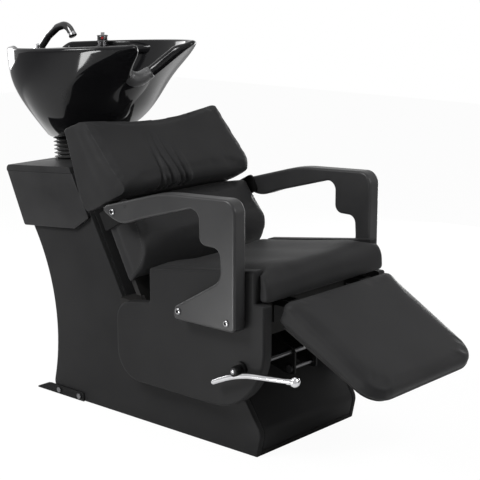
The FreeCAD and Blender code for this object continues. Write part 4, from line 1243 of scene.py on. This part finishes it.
@dataclass(frozen=True)
class ArmBolts:
    """Button-headed bolts with hexagon sockets, three in each arm, and a small dimple by the rear one, with
    painted shade in the sockets and dimples.
    """

    face: float = 0.300
    places: Profile = ((-0.3771, 0.3772), (-0.2118, 0.3782), (0.0268, 0.6060))
    head: Profile = (
        (0.0, -0.061), (0.004, -0.061), (0.004, 0.0), (0.0086, 0.0), (0.0090, 0.0006),
        (0.0090, 0.0016), (0.0085, 0.0031), (0.0074, 0.0043), (0.0060, 0.0049), (0.0050, 0.0050),
    )
    socket: Profile = ((0.0041, 0.0050), (0.0039, 0.0047), (0.0039, 0.0015), (0.0, 0.0013))
    socket_reach: float = 0.0039
    columns: int = 48
    dimple: tuple[float, float] = (-0.022, 0.6265)
    dimple_profile: Profile = (
        (0.0, -0.004), (0.0042, -0.004), (0.0042, 0.0003), (0.0036, 0.0003), (0.0030, -0.0016),
        (0.0, -0.0020),
    )

    def rings(self) -> Array:
        """Rows of points of one bolt along X, from its tip over its head into the socket."""
        angle = np.linspace(0.0, math.tau, self.columns + 1)
        flat = np.mod(angle, math.tau / 6.0) - math.tau / 12.0
        hexagon = 1.0 / np.cos(flat)
        rows = [(np.full_like(angle, radius), x) for radius, x in self.head]
        rows += [(radius * hexagon * math.cos(math.tau / 12.0) * 1.08, x) for radius, x in self.socket]
        rings = [
            np.stack([np.full_like(angle, x), reach * np.cos(angle), reach * np.sin(angle)], -1)
            for reach, x in rows
        ]
        return np.stack(rings)

    def build(self, dresser: Dresser) -> None:
        """Makes the six bolts and the two dimples.

        Args:
            dresser: gives them their finishes and body.
        """
        rings = self.rings()
        bolts = [
            skin("arm_bolt", np.array([side * self.face, y, z]) + rings * np.array([side, 1.0, 1.0]))
            for side in SIDES
            for y, z in self.places
        ]
        heads = join("armrest_bolt_set", bolts)
        # The bolt heads are chrome with painted dark reflections.
        dresser.deliver(heads, Finish.CHROME_PAINTED_DARK, "base", "armrest_bolts", edge=35.0)
        # Faces inside each socket get the near-black finish: painted shade in the hollow.
        heads.data.materials.append(dresser.made[Finish.BLACK_STEEL_AND_PAINTED_SHADE])
        axes = np.array(self.places)
        for face in heads.data.polygons:
            reach = np.linalg.norm(axes - np.array(face.center[1:]), axis=1).min()
            face.material_index = int(reach < self.socket_reach and abs(face.center[0]) > self.face)
        # The dimples are near black: painted shade in the hollows.
        dimples = [
            turned("dimple", self.dimple_profile, np.array([side * self.face, *self.dimple]), SIDEWAYS * side)
            for side in SIDES
        ]
        dresser.deliver(join("armrest_dimples", dimples), Finish.BLACK_STEEL_AND_PAINTED_SHADE, "base", edge=40.0)


# Studio


@dataclass(frozen=True)
class Studio:
    """Camera at the photograph's angle, soft lamps and a pale floor."""

    camera_place: Place = (-2.648, -2.495, 1.291)
    camera_turn: Place = (77.49, 0.0, -48.57)
    lens: float = 99.3
    sensor: float = 36.0
    floor_size: float = 14.0
    floor_share: float = 0.96
    sky_light: float = 0.28
    lamps: tuple[tuple[str, Place, float, float], ...] = (
        ("key", (-1.8, 0.4, 2.1), 1.0, 70.0),
        ("spark", (-2.5, 0.5, 2.85), 0.4, 20.0),
        ("top", (0.1, 0.0, 3.2), 2.0, 14.0),
        ("front", (0.3, -2.0, 1.5), 1.0, 30.0),
        ("fill", (2.7, 0.4, 0.5), 1.0, 34.0),
        ("rear", (0.2, 2.8, 1.1), 1.0, 30.0),
    )
    glint: tuple[str, Place, float, float] = ("glint", (-1.20, -0.03, 0.05), 0.50, 20.0)
    glint_height: float = 0.36
    aim: Place = (0.0, 0.0, 0.5)

    def camera(self) -> None:
        """Sets the camera."""
        data = bpy.data.cameras.new("camera")
        data.lens = self.lens
        data.sensor_width = self.sensor
        camera = bpy.data.objects.new("camera", data)
        camera.location = self.camera_place
        camera.rotation_euler = [math.radians(turn) for turn in self.camera_turn]
        bpy.context.scene.collection.objects.link(camera)
        bpy.context.scene.camera = camera

    def lamp(self, name: str, place: Place, size: float, watts: float) -> Object:
        """Adds a square soft lamp that faces the unit.

        Args:
            name: the lamp's name.
            place: where it stands.
            size: its side.
            watts: its power.

        Returns:
            The lamp.
        """
        data = bpy.data.lights.new(name, "AREA")
        data.size = size
        data.energy = watts
        lamp = bpy.data.objects.new(name, data)
        lamp.location = place
        lamp.rotation_euler = (Vector(self.aim) - Vector(place)).to_track_quat("-Z", "Y").to_euler()
        bpy.context.scene.collection.objects.link(lamp)
        return lamp

    def world(self) -> None:
        """White to the camera and in reflections, a soft grey for lighting."""
        world = bpy.data.worlds.new("studio")
        bpy.context.scene.world = world
        world.use_nodes = True
        tree = world.node_tree
        sky = tree.nodes["Background"]
        sky.inputs["Color"].default_value = (1.0, 1.0, 1.0, 1.0)
        path = tree.nodes.new("ShaderNodeLightPath")
        seen = path.outputs["Is Camera Ray"]
        for name in ("Is Glossy Ray", "Is Transmission Ray"):
            both = tree.nodes.new("ShaderNodeMath")
            both.operation = "MAXIMUM"
            tree.links.new(seen, both.inputs[0])
            tree.links.new(path.outputs[name], both.inputs[1])
            seen = both.outputs["Value"]
        level = tree.nodes.new("ShaderNodeMapRange")
        level.inputs["To Min"].default_value = self.sky_light
        level.inputs["To Max"].default_value = 1.0
        tree.links.new(seen, level.inputs["Value"])
        tree.links.new(level.outputs["Result"], sky.inputs["Strength"])

    def floor(self) -> None:
        """Adds the pale floor."""
        bpy.ops.object.select_all(action="DESELECT")
        bpy.ops.mesh.primitive_plane_add(size=self.floor_size, location=(0.0, 0.0, 0.0))
        plane = bpy.context.object
        plane.name = "floor"
        wiring = Wiring("pale_floor")
        wiring.set(Base_Color=(0.9, 0.9, 0.9), Roughness=0.9)
        glow = wiring.add("ShaderNodeEmission")
        mix = wiring.add("ShaderNodeMixShader")
        seen = wiring.add("ShaderNodeLightPath").outputs["Is Camera Ray"]
        wiring.join(wiring.ramp(seen, 0.0, self.floor_share), mix.inputs["Fac"])
        wiring.join(wiring.shader.outputs["BSDF"], mix.inputs[1])
        wiring.join(glow.outputs["Emission"], mix.inputs[2])
        wiring.join(mix.outputs["Shader"], wiring.tree.nodes["Material Output"].inputs["Surface"])
        plane.data.materials.append(wiring.material)

    def build(self) -> None:
        """Sets up the whole studio."""
        self.camera()
        self.world()
        self.floor()
        for lamp in self.lamps:
            self.lamp(*lamp)
        glint = self.lamp(*self.glint)
        glint.data.shape = "RECTANGLE"
        glint.data.size_y = self.glint_height
        glint.visible_diffuse = False
        glint.visible_camera = False
        bpy.context.scene.view_settings.view_transform = "Standard"


def main() -> None:
    """Builds the studio, dresses the frame and makes the new pieces."""
    logging.basicConfig(level=logging.INFO, format="%(name)s: %(message)s")
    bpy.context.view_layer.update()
    Studio().build()
    dresser = Dresser()
    dresser.dress_nodes()
    SeatCushion().build(dresser)
    lumbar = BackCushion("lumbar_cushion").build(dresser)
    Stitching().build(lumbar, dresser)
    UpperBack().build(dresser)
    LegPad().build(dresser)
    for side in ("left", "right"):
        EasedBoard("pedestal_side_" + side, Finish.COVERED_BOARD, 0.004).build(dresser)
        EasedBoard("shelf_cheek_" + side, Finish.SHELF).build(dresser)
    for node in ("plinth_front_panel", "column_front_panel", "pedestal_rear_panel"):
        EasedBoard(node, Finish.COVERED_BOARD, 0.003).build(dresser)
    for node in ("basin_shelf", "shelf_rear_panel"):
        EasedBoard(node, Finish.SHELF).build(dresser)
    basin = Basin()
    basin.build(dresser)
    NeckRest(basin).build(dresser)
    Bellows().build(dresser)
    Handset().build(dresser)
    Lever().build(dresser)
    ArmBolts().build(dresser)


if __name__ == "__main__":
    main()
